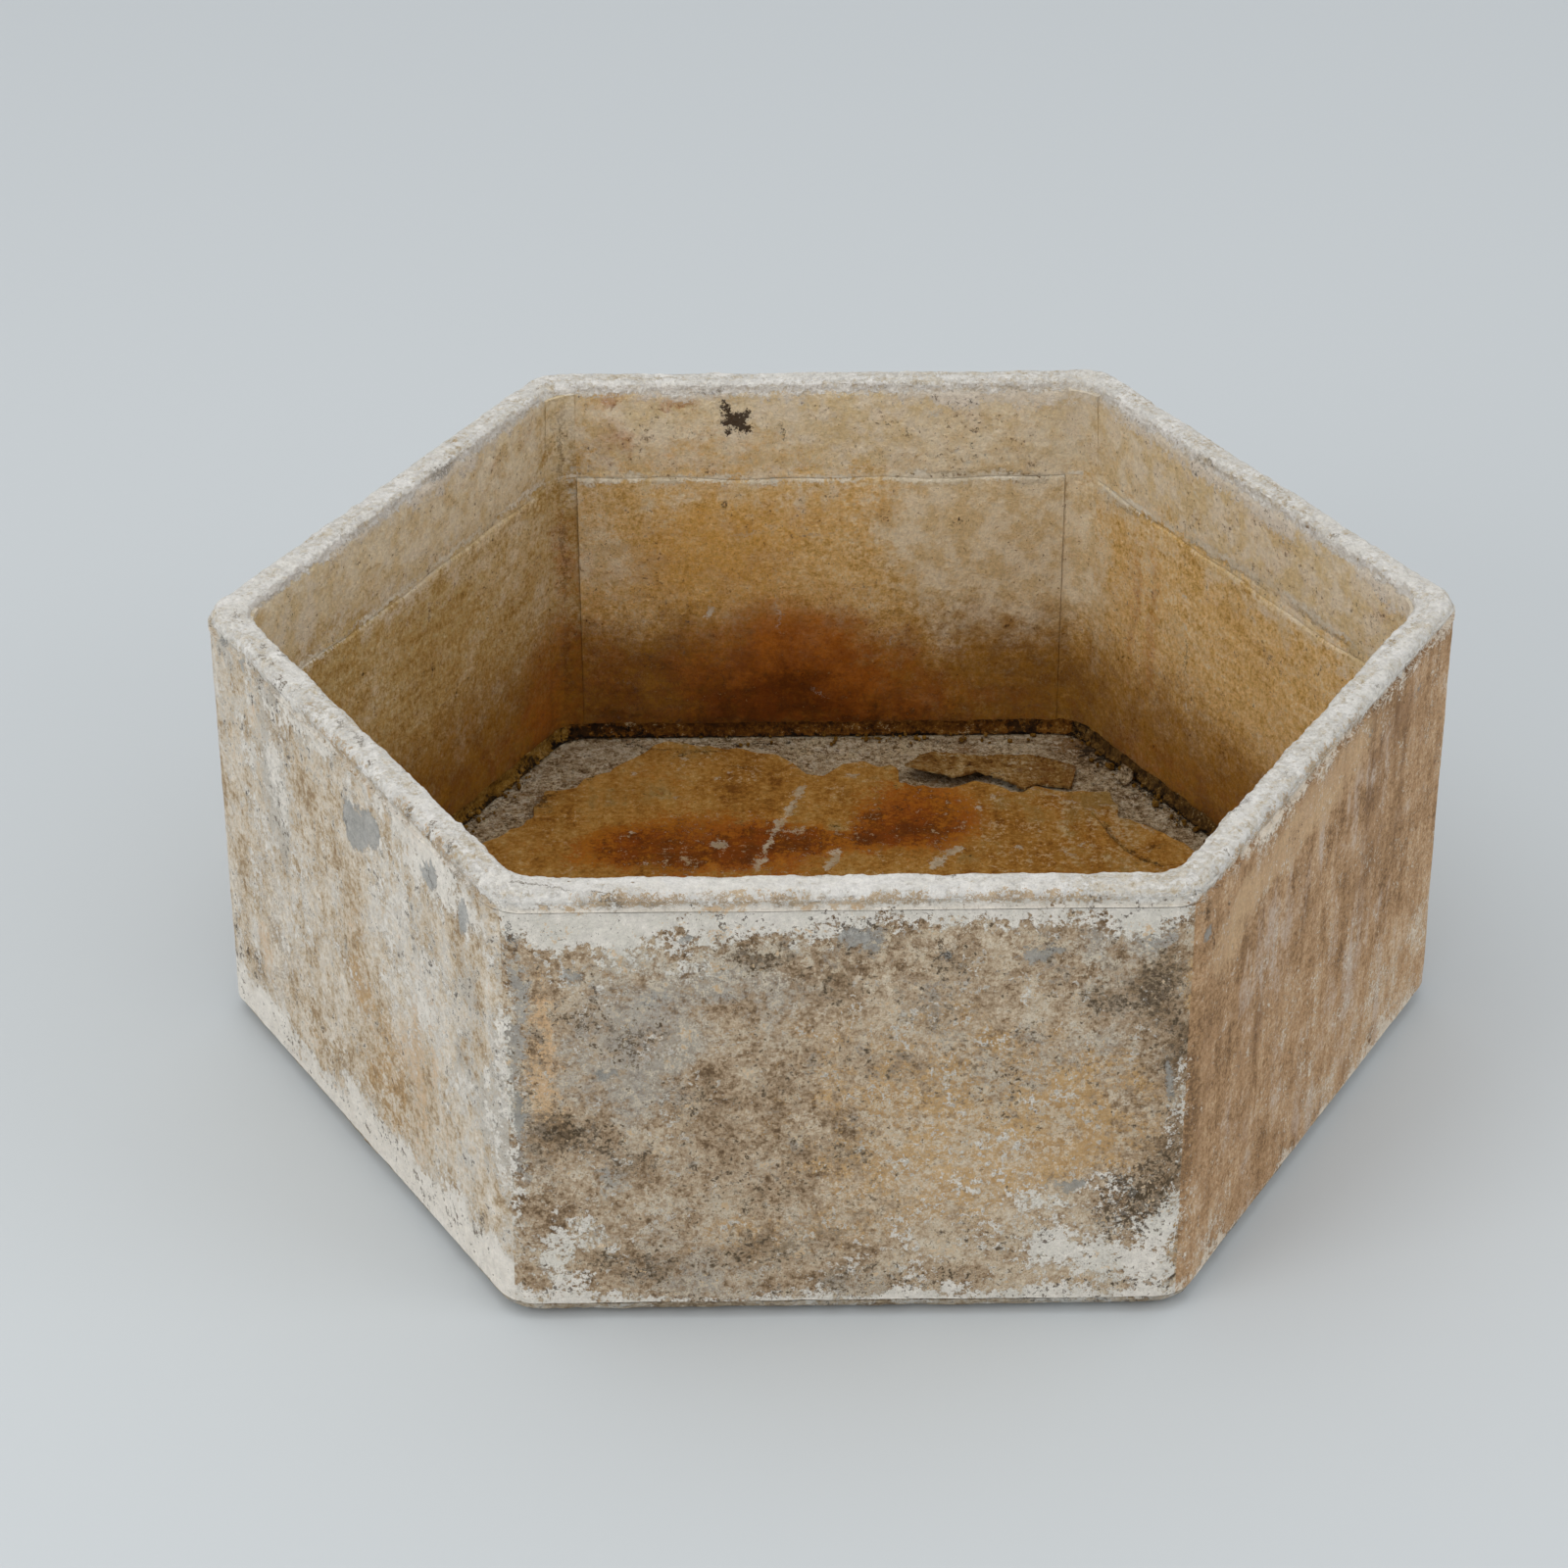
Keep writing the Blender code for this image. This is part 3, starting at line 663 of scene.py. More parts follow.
class Surface(Graph):
    """The node tree of one finish, with the places and patterns that its washes are drawn on."""

    # How far broad, middle and fine clouds shift the marks, in metres: scattered ones, and crisp ones
    scattered: tuple[float, float, float] = (0.006, 0.005, 0.003)
    kept: tuple[float, float, float] = (0.0, 0.0020, 0.0022)
    mottling: float = 0.9
    specular: float = 0.12

    def __init__(self, name: str, effects: Effects, side: int | None = None) -> None:
        """Start a material.

        Args:
            name: the material's name.
            effects: the shared node groups.
            side: the side that it is for, or None for the floor.
        """
        self.material = bpy.data.materials.new(name)
        self.material.use_nodes = True
        super().__init__(self.material.node_tree)
        self.effects = effects
        self.shader = self.tree.nodes["Principled BSDF"]
        self.body = self.add("TexCoord").outputs["Object"]
        self.planes = {Plane.SIDE: self.body, Plane.TOP: self.body}
        if side is not None:
            spin = Matrix.Rotation(-(side_angle(side) + math.pi / 2), 3, "Z")
            self.planes[Plane.SIDE] = self._turned(Matrix.Rotation(-math.pi / 2, 3, "X") @ spin)
            self.planes[Plane.TOP] = self._turned(Matrix.Rotation(math.pi, 3, "X") @ spin)
        self.fields: dict[str, Socket] = {}
        self.patterns: dict[str, tuple[Socket, ...]] = {}
        self.places: dict[tuple[Plane, bool], Socket] = {}
        self.height: Socket | float = 0.0

    def draw_with(self, clouds: Clouds) -> None:
        """Use clouds of these sizes from here on, on a level of no height."""
        drawn = self.vector("MULTIPLY", self.planes[Plane.SIDE], clouds.drawn)
        node = self.use(self.effects.patterns, place=self.body, drawn_place=drawn, broad_scale=clouds.broad,
                        middle_scale=clouds.middle, fine_scale=clouds.fine, strokes_scale=clouds.strokes)
        self.fields = {label: node.outputs[label] for label in PATTERNS}
        self.patterns = {label: self._parts(node.outputs[label]) for label in PATTERNS}
        for plane, place in self.planes.items():
            self.places[plane, False] = self._shaken(place, self.scattered)
            self.places[plane, True] = self._shaken(place, self.kept)
        self.height = 0.0

    def _turned(self, turn: Matrix) -> Socket:
        """The place, turned to be seen from a side."""
        node = self.add("Mapping", vector_type="POINT")
        self.feed(node.inputs["Vector"], self.body)
        node.inputs["Rotation"].default_value = turn.to_euler("XYZ")
        return node.outputs[0]

    def _parts(self, value: Socket) -> tuple[Socket, Socket, Socket]:
        """The three numbers of a colour or a place."""
        node = self.add("SeparateXYZ")
        self.feed(node.inputs[0], value)
        return tuple(node.outputs)

    def _shaken(self, place: Socket, reach: tuple[float, float, float]) -> Socket:
        """A place shifted by the clouds, so that what is drawn on it gets ragged edges."""
        for label, distance in zip(PATTERNS, reach):
            if distance:
                place = self.vector("MULTIPLY_ADD", self.fields[label], (distance,) * 3, place)
        return place

    def marked(self, wash: Wash) -> Socket | float:
        """A wash's level with its marks."""
        total: Socket | float = wash.level
        for mark in wash.marks:
            lengthwise, crosswise = mark.axes()
            middle = Vector((mark.along, mark.up, 0)) * MILLIMETRE
            node = self.use(self.effects.mark, place=self.places[wash.plane, wash.crisp],
                            lengthwise=lengthwise, crosswise=crosswise, middle_length=lengthwise.dot(middle),
                            middle_width=crosswise.dot(middle), core=(1 - mark.softness) ** 2)
            total = self.math("MULTIPLY_ADD", node.outputs[0], mark.strength, total)
        return total

    def shown(self, wash: Wash) -> Socket:
        """Where a wash shows."""
        node = self.use(self.effects.wash, amount=self.marked(wash), softness=wash.softness, strength=wash.strength)
        for label, sway in zip(PATTERNS, wash.sway):
            if sway:
                self.feed(node.inputs[label], self.patterns[label][wash.pattern])
                node.inputs[label + " Sway"].default_value = sway
        return node.outputs[0]

    def ground(self, tints: Sequence[str], weights: Sequence[float]) -> Socket:
        """A ramp of colours that the clouds choose from.

        Args:
            tints: from the darkest to the palest.
            weights: of the broad, middle and fine clouds and the strokes.

        Returns:
            The colour.
        """
        tone: Socket | float = 0.5
        for number, (label, weight) in enumerate(zip(PATTERNS, weights)):
            if weight:
                tone = self.math("MULTIPLY_ADD", self.patterns[label][number % PATTERN_PARTS], weight, tone)
        ramp = self.add("ValToRGB")
        self.feed(ramp.inputs[0], tone)
        elements = ramp.color_ramp.elements
        elements[1].position = 1.0
        for number in range(1, len(tints) - 1):
            elements.new(number / (len(tints) - 1))
        for element, tint in zip(elements, tints):
            element.color = colour(tint)
        return ramp.outputs[0]

    def wash(self, base: Socket, wash: Wash) -> Socket:
        """Lay a wash over a colour, and its relief over the relief so far."""
        mask = self.shown(wash)
        tint: Socket | tuple[float, ...] = colour(wash.tint)
        if wash.second:
            other = self.patterns["Middle"][(wash.pattern + 1) % PATTERN_PARTS]
            tint = self.mix(self.math("MULTIPLY_ADD", other, self.mottling, 0.5), tint, colour(wash.second))
        if wash.relief:
            self.height = self.math("MULTIPLY_ADD", mask, wash.relief, self.height)
        return self.mix(mask, base, tint)

    def finish(self, base: Socket, grain: float, rough: float) -> Material:
        """Feed the shader.

        Args:
            base: the colour.
            grain: how far the fine clouds darken and lighten it.
            rough: the roughness.

        Returns:
            The finished material.
        """
        grained = self.add("HueSaturation")
        self.feed(grained.inputs["Color"], base)
        self.feed(grained.inputs["Value"], self.math("MULTIPLY_ADD", self.patterns["Fine"][1], grain, 1.0))
        self.feed(self.shader.inputs["Base Color"], grained.outputs[0])
        self.shader.inputs["Roughness"].default_value = rough
        self.shader.inputs["Specular IOR Level"].default_value = self.specular
        bump = self.add("Bump")
        bump.inputs["Strength"].default_value = 1.0
        bump.inputs["Distance"].default_value = MILLIMETRE
        self.feed(bump.inputs["Height"], self.height)
        self.feed(self.shader.inputs["Normal"], bump.outputs[0])
        return self.material


@dataclass(frozen=True)
class Finish:
    """Ground colours, and the washes over them from the first to the last."""

    ground: tuple[str, ...]  # colours of the ground, from the darkest to the palest
    washes: tuple[Wash, ...]  # what lies over it
    # How broad, middle and fine clouds and strokes choose the ground's colour
    weights: tuple[float, float, float, float] = (0.20, 0.24, 0.26, 0.12)
    clouds: Clouds = Clouds()  # size of the cloud patterns
    relief: tuple[float, float] = (0.35, 0.30)  # height of the middle and the fine clouds, in millimetres
    grain: float = 0.10  # how far the fine clouds darken and lighten the whole
    rough: float = 0.93  # the roughness

    def paint(self, surface: Surface) -> Socket:
        """The finish's colour, with its relief as the surface's height."""
        surface.draw_with(self.clouds)
        base = surface.ground(self.ground, self.weights)
        for label, depth in zip(("Middle", "Fine"), self.relief):
            surface.height = surface.math("MULTIPLY_ADD", surface.patterns[label][0], depth, surface.height)
        for wash in self.washes:
            base = surface.wash(base, wash)
        return base

    def above(self, height: float) -> "Finish":
        """The same finish without the marks that stay below a height in millimetres."""
        washes = tuple(replace(wash, marks=tuple(mark for mark in wash.marks if mark.top() > height))
                       for wash in self.washes)
        return replace(self, washes=washes)

    def material(self, name: str, effects: Effects, side: int | None = None) -> Material:
        """The finished material, for a side or for the floor."""
        surface = Surface(name, effects, side)
        return surface.finish(self.paint(surface), self.grain, self.rough)


# Finishes of the outer walls

UPRIGHT_RUNS = (1, 0.11, 1)
FRONT_MOULD = marks(
    (-121, 203, 30, 20, 10), (-151, 134, 34, 20, 0, 1.1), (-93, 161, 24, 18, 0, 0.9), (-48, 168, 20, 14, 0, 0.6),
    (177, 233, 22, 34, 0, 1.3), (149, 228, 18, 14, 0, 0.8), (184, 185, 14, 34), (166, 81, 28, 28, 0, 1.3),
    (182, 109, 14, 24, 0, 0.9), (-130, 42, 36, 18), (-174, 135, 16, 30, 0, 0.7), (-76, 140, 24, 16, 0, 0.8),
    (-14, 235, 36, 14, -15, 0.8), (-123, 113, 24, 14, 0, 0.8), (-58, 260, 28, 9, -12, 1.2),
    (60, 250, 26, 18, 0, 0.7), (40, 30, 60, 14, 0, 0.6), (110, 50, 40, 24, 0, 0.6), (-60, 100, 40, 26, 0, 0.6),
    (-150, 215, 26, 12, 0, 0.8), (-60, 50, 50, 16, 0, 0.7), (-10, 120, 30, 14, 0, 0.5), (20, 180, 40, 14, 0, 0.4),
    (100, 180, 30, 20, 0, 0.3))
FRONT_WALL = Finish(
    ground=("6C5741", "977F63", "B8A186", "CCB99E", "DFD2BE"),
    clouds=Clouds(fine=170, strokes=330, drawn=(1, 1, 1)),
    weights=(0.15, 0.17, 0.28, 0.12),
    washes=(
        Wash("A19E97", -0.45, (0.6, 0.5, 0.4, 0.1), marks((-130, 190, 60, 60, 0, 0.6), (-60, 235, 60, 25, -15, 0.6),
            (-60, 110, 70, 25, 0, 0.4), (150, 268, 40, 20, 0, 0.5), (40, 130, 120, 70, 0, -0.5)), 0.4, 0.65, 0, 1,
            "ADACA8"),
        Wash("A9A9A5", -0.85, (0.4, 0.6, 0.6, 0.1), marks((-193, 200, 8, 140, 0, 1.3), (-105, 236, 50, 12, -8, 0.6),
            (8, 267, 14, 8), (173, 266, 16, 12), (-150, 120, 40, 30, 0, 0.4), (-138, 100, 18, 14, 0, 0.7)), 0.25,
            0.75, 0, 2, "A3A19B"),
        Wash("CDA772", -0.85, (0.4, 0.5, 0.6, 0.1), marks((60, 140, 150, 90, 8, 0.85), (-40, 60, 90, 26, 0, 0.5),
            (200, 150, 9, 160, 0, 1.3), (-30, 200, 60, 30, 0, 0.3), (150, 140, 60, 70, 0, 0.6)), 0.35, 0.75, 0, 0,
            "BC935E"),
        Wash("D3AD83", -1, (0.2, 0.4, 0.4, 0), marks((-177, 195, 10, 100, 0, 1.3), (-168, 150, 6, 70, 0, 0.9),
            (-160, 240, 4, 40, 0, 0.5)), 0.25, 0.8, 0.05, 1, "D9B68C"),
        Wash("DBCFBA", -0.55, (0.2, 0.5, 0.8, 0.25), marks((60, 150, 120, 60, 0, 0.15), (-100, 90, 90, 30, 0, 0.15),
            (0, 262, 220, 34, 0, 0.35)), 0.22, 0.7, 0.08, 1, "CFBFA4"),
        Wash("836E54", -1.1, (0.35, 0.5, 0.95, 0.5), (*FRONT_MOULD, Mark(10, 72, 120, 36, 0, 0.55)), 0.2, 0.75, 0,
            2, "917E64"),
        Wash("5A4B3A", -1.5, (0.15, 0.4, 1.05, 0.65), FRONT_MOULD, 0.15, 0.75, -0.08, 1, "483B2D"),
        Wash("EAE4DA", -1, (0.3, 0.5, 0.75, 0.5), (*marks((-160, 284, 60, 26, -8, 2.2, 0.7),
            (-80, 284, 70, 18, 4, 1.9, 0.7), (0, 289, 120, 24, 0, 1.6), (110, 290, 90, 24, 0, 1.4),
            (170, 284, 36, 22, 0, 1.6), (-95, 258, 50, 16, -10, 0.9), (-150, 240, 30, 8),
            (-20, 272, 50, 10, -10, 0.7), (-176, 49, 20, 20, 20, 1.5), (-153, 64, 18, 14, 0, 1.2),
            (-165, 28, 26, 12, 0, 1.3), (154, 95, 24, 12, 0, 1.1), (184, 66, 14, 30, 0, 1.4),
            (138, 44, 34, 18, 0, 1.5), (180, 30, 24, 16, 0, 1.5), (125, 82, 26, 10, 0, 0.9),
            (165, 60, 40, 40, 0, 0.6), (22, 18, 40, 8, 0, 0.9), (-175, 82, 14, 14, 0, 0.9),
            (-198, 150, 9, 160, 0, 1.3)), band(8, 14, 1.9), band(294, 9, 0.9), *marks((50, 45, 150, 26, 0, 0.15),
            (196, 110, 14, 110, 0, 0.9))), 0.13, 0.95, 0.22, 0, "E0DBD0"),
        Wash("453929", -1.85, (0.1, 0.35, 1.1, 1), FRONT_MOULD + (*marks((-75, 285, 30, 14, 0, 0.7),
            (10, 280, 60, 12, 0, 0.6), (170, 278, 30, 20, 0, 0.6), (-56, 265, 24, 8, -10, 0.3),
            (60, 253, 14, 8, 0, 0.4)), band(18, 12, 0.4), Mark(165, 75, 34, 60, 0, 0.7)), 0.15, 0.8, -0.1, 2,
            "5A4A39"),
        Wash("7A6854", -1.4, (0, 0.3, 0.8, 0.75), (), 0.15, 0.5),
        Wash("CDB08B", -1.2, (0.1, 0.8, 0.5, 0.5), marks((-95, 297, 120, 5, 0, 1.8), (70, 299, 130, 4, 0, 1.6),
            (-175, 262, 10, 14), (-60, 280, 60, 5, 0, 0.8)), 0.12, 0.85, -0.15, 1, "D8C0A0"),
        Wash("A6A49E", -1, (0, 0.4, 0.35, 0), marks((4, 269, 13, 8, 0, 1.7, 0.8), (14, 263, 8, 4, 20, 1.7, 0.8),
            (-157, 245, 7, 5, 10, 1.9, 0.6), (-91, 269, 5, 3, 30, 2, 0.5), (56, 258, 4, 5, 20, 1.6, 0.6),
            (106, 256, 12, 7, 0, 1.7, 0.8), (118, 260, 8, 5, 0, 1.6, 0.8), (130, 95, 17, 5, 4, 1.7, 0.8),
            (188, 170, 3, 16, 8, 1.8, 0.6), (-138, 178, 9, 4, 0, 1.5, 0.6), (-190, 150, 4, 20, 0, 1.5, 0.6)), 0.15,
            0.8, -0.45, 0, "97958F", True),
        Wash("372E25", -1, (0, 0.25, 0.3, 0), line([(50, 271), (54, 262), (61, 249)], 1.6) + line([(56, 259),
            (48, 252)], 1.4) + line([(-148, 239), (-144, 231)], 2.6) + line([(61, 249), (70, 247)], 1.2)
            + line([(-191, 284), (-190, 256)], 1.3) + dots([(-152, 242), (3, 262), (-1, 274)], 1.5), 0.2, 0.9, -0.5,
            0, "", True),
    ),
)
FRONT_LEFT_WALL = Finish(
    ground=("9A8265", "BEAA8E", "D5C8B5", "E0D7C9", "E9E3D9"),
    clouds=Clouds(drawn=UPRIGHT_RUNS),
    weights=(0.16, 0.2, 0.26, 0.13),
    grain=0.08,
    relief=(0.35, 0.25),
    washes=(
        Wash("CDAE8A", -0.95, (0.5, 0.45, 0.35, 0.35), marks((0, 150, 30, 90, 0, 0.7), (110, 200, 50, 50, 0, 0.5),
            (-60, 250, 40, 50, 0, 0.3), (-130, 250, 40, 40, 0, 0.3), (100, 110, 60, 60, 0, 0.4)), 0.4, 0.65, 0, 1,
            "C3A27A"),
        Wash("B9B6AF", -0.8, (0.6, 0.45, 0.35, 0.3), marks((-110, 210, 30, 90, 0, 0.6), (150, 120, 40, 90, 0, 0.6),
            (60, 190, 30, 80, 0, 0.4), (188, 150, 10, 140, 0, 0.8)), 0.4, 0.6, 0, 2, "C6C3BC"),
        Wash("BC9560", -1.15, (0.3, 0.45, 0.8, 0.45), marks((36, 64, 52, 34, 15, 1.3), (34, 115, 70, 34, -22, 1.1),
            (8, 160, 20, 60)), 0.4, 0.7, 0, 0, "AA8450"),
        Wash("927858", -1, (0.35, 0.55, 0.95, 0.3), marks((-153, 57, 26, 26, 0, 1.1), (-46, 54, 38, 28),
            (-97, 261, 20, 22), (-25, 219, 28, 20, 0, 1.1), (160, 46, 22, 16, 0, 1.1), (36, 60, 30, 20, 15, 0.7),
            (-120, 130, 30, 50, 0, 0.6), (-100, 80, 60, 40, 0, 0.6), (60, 80, 16, 30, 0, 0.6),
            (-170, 100, 20, 60, 0, 0.5)), 0.25, 0.8, 0, 0, "A88E6A"),
        Wash("ECE7DE", -0.5, (0.5, 0.5, 0.55, 0.25), (*marks((110, 288, 110, 40, -20, 1.6),
            (-60, 285, 80, 20, 0, 0.9)), band(8, 44, 1.9), *marks((120, 20, 100, 50, 0, 0.9),
            (190, 150, 20, 150, 0, 0.6), (-100, 200, 60, 60, 0, 0.3), (36, 70, 40, 40, 0, -0.8),
            (-25, 219, 26, 26, 0, -0.7), (-46, 60, 50, 30, 0, -0.5), (60, 250, 60, 40, 0, 0.4))), 0.2, 0.88, 0.18,
            0, "E4DED4"),
        Wash("64533F", -1.5, (0.1, 0.45, 1.3, 0.1), marks((-153, 57, 22, 20, 0, 1.1), (-92, 280, 10, 12, 0, 0.7),
            (-83, 244, 8, 14, 0, 0.8), (160, 42, 20, 14, 0, 0.9), (52, 66, 12, 22, 0, 0.5),
            (-182, 60, 10, 50, 0, 0.9), (0, 34, 190, 18, 0, 0.5), (-25, 219, 16, 16, 0, 0.6),
            (110, 20, 70, 10, 0, 0.6), (-188, 280, 6, 16, 0, 0.8)), 0.18, 0.8, -0.1, 2, "4C3F31"),
        Wash("B2B1AD", -1, (0, 0.4, 0.3, 0), marks((14, 249, 20, 18, 0, 2.2, 0.5), (34, 258, 20, 15, 10, 2.2, 0.5),
            (119, 271, 8, 14, -10, 2, 0.5), (112, 266, 8, 5, 0, 1.8, 0.5), (158, 263, 7, 16, -8, 2, 0.5),
            (-170, 293, 8, 6, 0, 1.8, 0.5), (-142, 286, 5, 7, 0, 1.8, 0.5), (-74, 304, 8, 5, 0, 1.8, 0.5)), 0.12,
            0.9, -0.5, 0, "A3A29E", True),
        Wash("4A3D30", -1, (0, 0.3, 0.35, 0), line([(-92, 288), (-90, 274)], 2.4, 1.7) + line([(-33, 206),
            (-32, 190)], 2, 1.6) + line([(-11, 162), (-10, 148)], 1.8, 1.6) + line([(150, 46), (152, 33)], 2.4, 1.7)
            + line([(0, 268), (-3, 256), (4, 240)], 1.3, 1.7) + line([(110, 276), (122, 262)], 1.3, 1.6)
            + dots([(3, 272), (50, 250), (-60, 150), (95, 90), (170, 262)], 1.4), 0.2, 0.8, -0.35, 0, "", True),
    ),
)
FRONT_RIGHT_WALL = Finish(
    ground=("7C6046", "9E7D5A", "B5916D", "C5A684", "D8C1A4"),
    clouds=Clouds(drawn=(1, 0.12, 1), fine=330, strokes=90),
    weights=(0.22, 0.17, 0.27, 0.14),
    grain=0.11,
    relief=(0.08, 0.12),
    washes=(
        Wash("C6B8AC", -0.8, (0.5, 0.45, 0.3, 0.55), marks((-90, 190, 90, 60, 30, 0.7), (-110, 90, 70, 60, 0, 0.5),
            (60, 130, 60, 60, 0, 0.2)), 0.5, 0.65, 0, 1, "BBA797"),
        Wash("987658", -0.9, (0.5, 0.5, 0.5, 0.4), marks((-185, 150, 14, 100, 0, 0.6), (0, 30, 220, 24, 0, 0.4),
            (100, 60, 90, 50, 20, 0.3), (60, 240, 120, 30, 10, 0.4), (-30, 60, 120, 26, 0, 0.4)), 0.4, 0.65, 0, 2,
            "86664A"),
        Wash("D0B18C", -1, (0.25, 0.3, 0.2, 0.25), marks((-40, 264, 150, 26, 6, 1.9), (-150, 238, 44, 32, 30, 1.6)),
            0.8, 0.75, 0.02, 0, "C3A380"),
        Wash("E2D6C4", -0.95, (0.3, 0.5, 0.85, 0.3), (band(298, 16, 1.6), *marks((-100, 284, 60, 16, 0, 0.6),
            (60, 280, 60, 12, 0, 0.5)), band(9, 12, 1.3), *marks((-197, 110, 14, 110, 0, 0.6),
            (-160, 30, 30, 20, 0, 0.5), (120, 26, 50, 14, 0, 0.5))), 0.22, 0.85, 0.12, 0, "EAE0D0"),
        Wash("5C4936", -1.45, (0.1, 0.45, 1, 0.4), marks((-12, 202, 30, 30, 0, 0.2), (0, 20, 220, 16, 0, 0.4),
            (-60, 268, 40, 12, -10, 0.4)), 0.16, 0.75, -0.08, 2),
        Wash("9A9A95", -1, (0, 0.3, 0.3, 0), marks((-185, 262, 4, 6, 0, 2, 0.5), (54, 272, 3, 2, 0, 1.8, 0.5),
            (135, 267, 3, 3, 0, 1.8, 0.5)), 0.15, 0.8, -0.3, 0, "", True),
        Wash("45382C", -1, (0, 0.25, 0.25, 0), line([(-188, 284), (-186, 271)], 1.8) + line([(-178, 259),
            (-176, 247)], 1.8) + dots([(-97, 283), (-12, 202), (164, 30), (-171, 18), (40, 120), (100, 220)], 1.2),
            0.2, 0.85, -0.4, 0, "", True),
    ),
)
BACK_WALL = Finish(
    ground=("907A60", "AE9576", "C6B093", "D2C2AA", "E0D6C5"),
    clouds=Clouds(drawn=UPRIGHT_RUNS),
    weights=(0.16, 0.17, 0.26, 0.12),
    washes=(
        Wash("A7A49E", -0.65, (0.7, 0.5, 0.25, 0.5), (), 0.45, 0.55, 0, 1, "B5B1A9"),
        Wash("C9A06E", -0.95, (0.5, 0.45, 0.3, 0.7), (), 0.4, 0.6, 0, 0, "B88F62"),
        Wash("6F5D49", -1.1, (0.4, 0.6, 0.7, 0.3), (band(30, 26, 0.4), Mark(150, 150, 40, 90, 0, 0.3)), 0.3, 0.75,
            0, 2, "544638"),
        Wash("E3E0D8", -0.85, (0.5, 0.6, 0.45, 0.4), (band(296, 20, 1.2), band(9, 12, 1.2)), 0.16, 0.92, 0.2, 0,
            "DDD8CE"),
        Wash("40362B", -1.75, (0.1, 0.5, 1.25, 0.1), (), 0.12, 0.8, -0.08, 1),
    ),
)
BACK_RIGHT_WALL = replace(
    BACK_WALL,
    washes=(
        *BACK_WALL.washes[:2],
        Wash("A07E5C", -0.85, (0.5, 0.6, 0.75, 0.55), (Mark(-210, 150, 230, 420, 0, 1.7),), 0.4, 0.62, 0, 1,
            "C9A783"),
        *BACK_WALL.washes[2:],
    ),
)
BACK_LEFT_WALL = replace(
    BACK_WALL,
    washes=(
        *BACK_WALL.washes,
        Wash("ECE7DE", -0.95, (0.3, 0.5, 0.55, 0.25), (Mark(205, 150, 90, 420, 0, 1.3),), 0.3, 0.8, 0.15, 0,
            "E4DED4"),
    ),
)
WALL_FINISHES = {
    Side.FRONT: FRONT_WALL,
    Side.FRONT_RIGHT: FRONT_RIGHT_WALL,
    Side.BACK_RIGHT: BACK_RIGHT_WALL,
    Side.BACK: BACK_WALL,
    Side.BACK_LEFT: BACK_LEFT_WALL,
    Side.FRONT_LEFT: FRONT_LEFT_WALL,
}


# Finishes of the inside

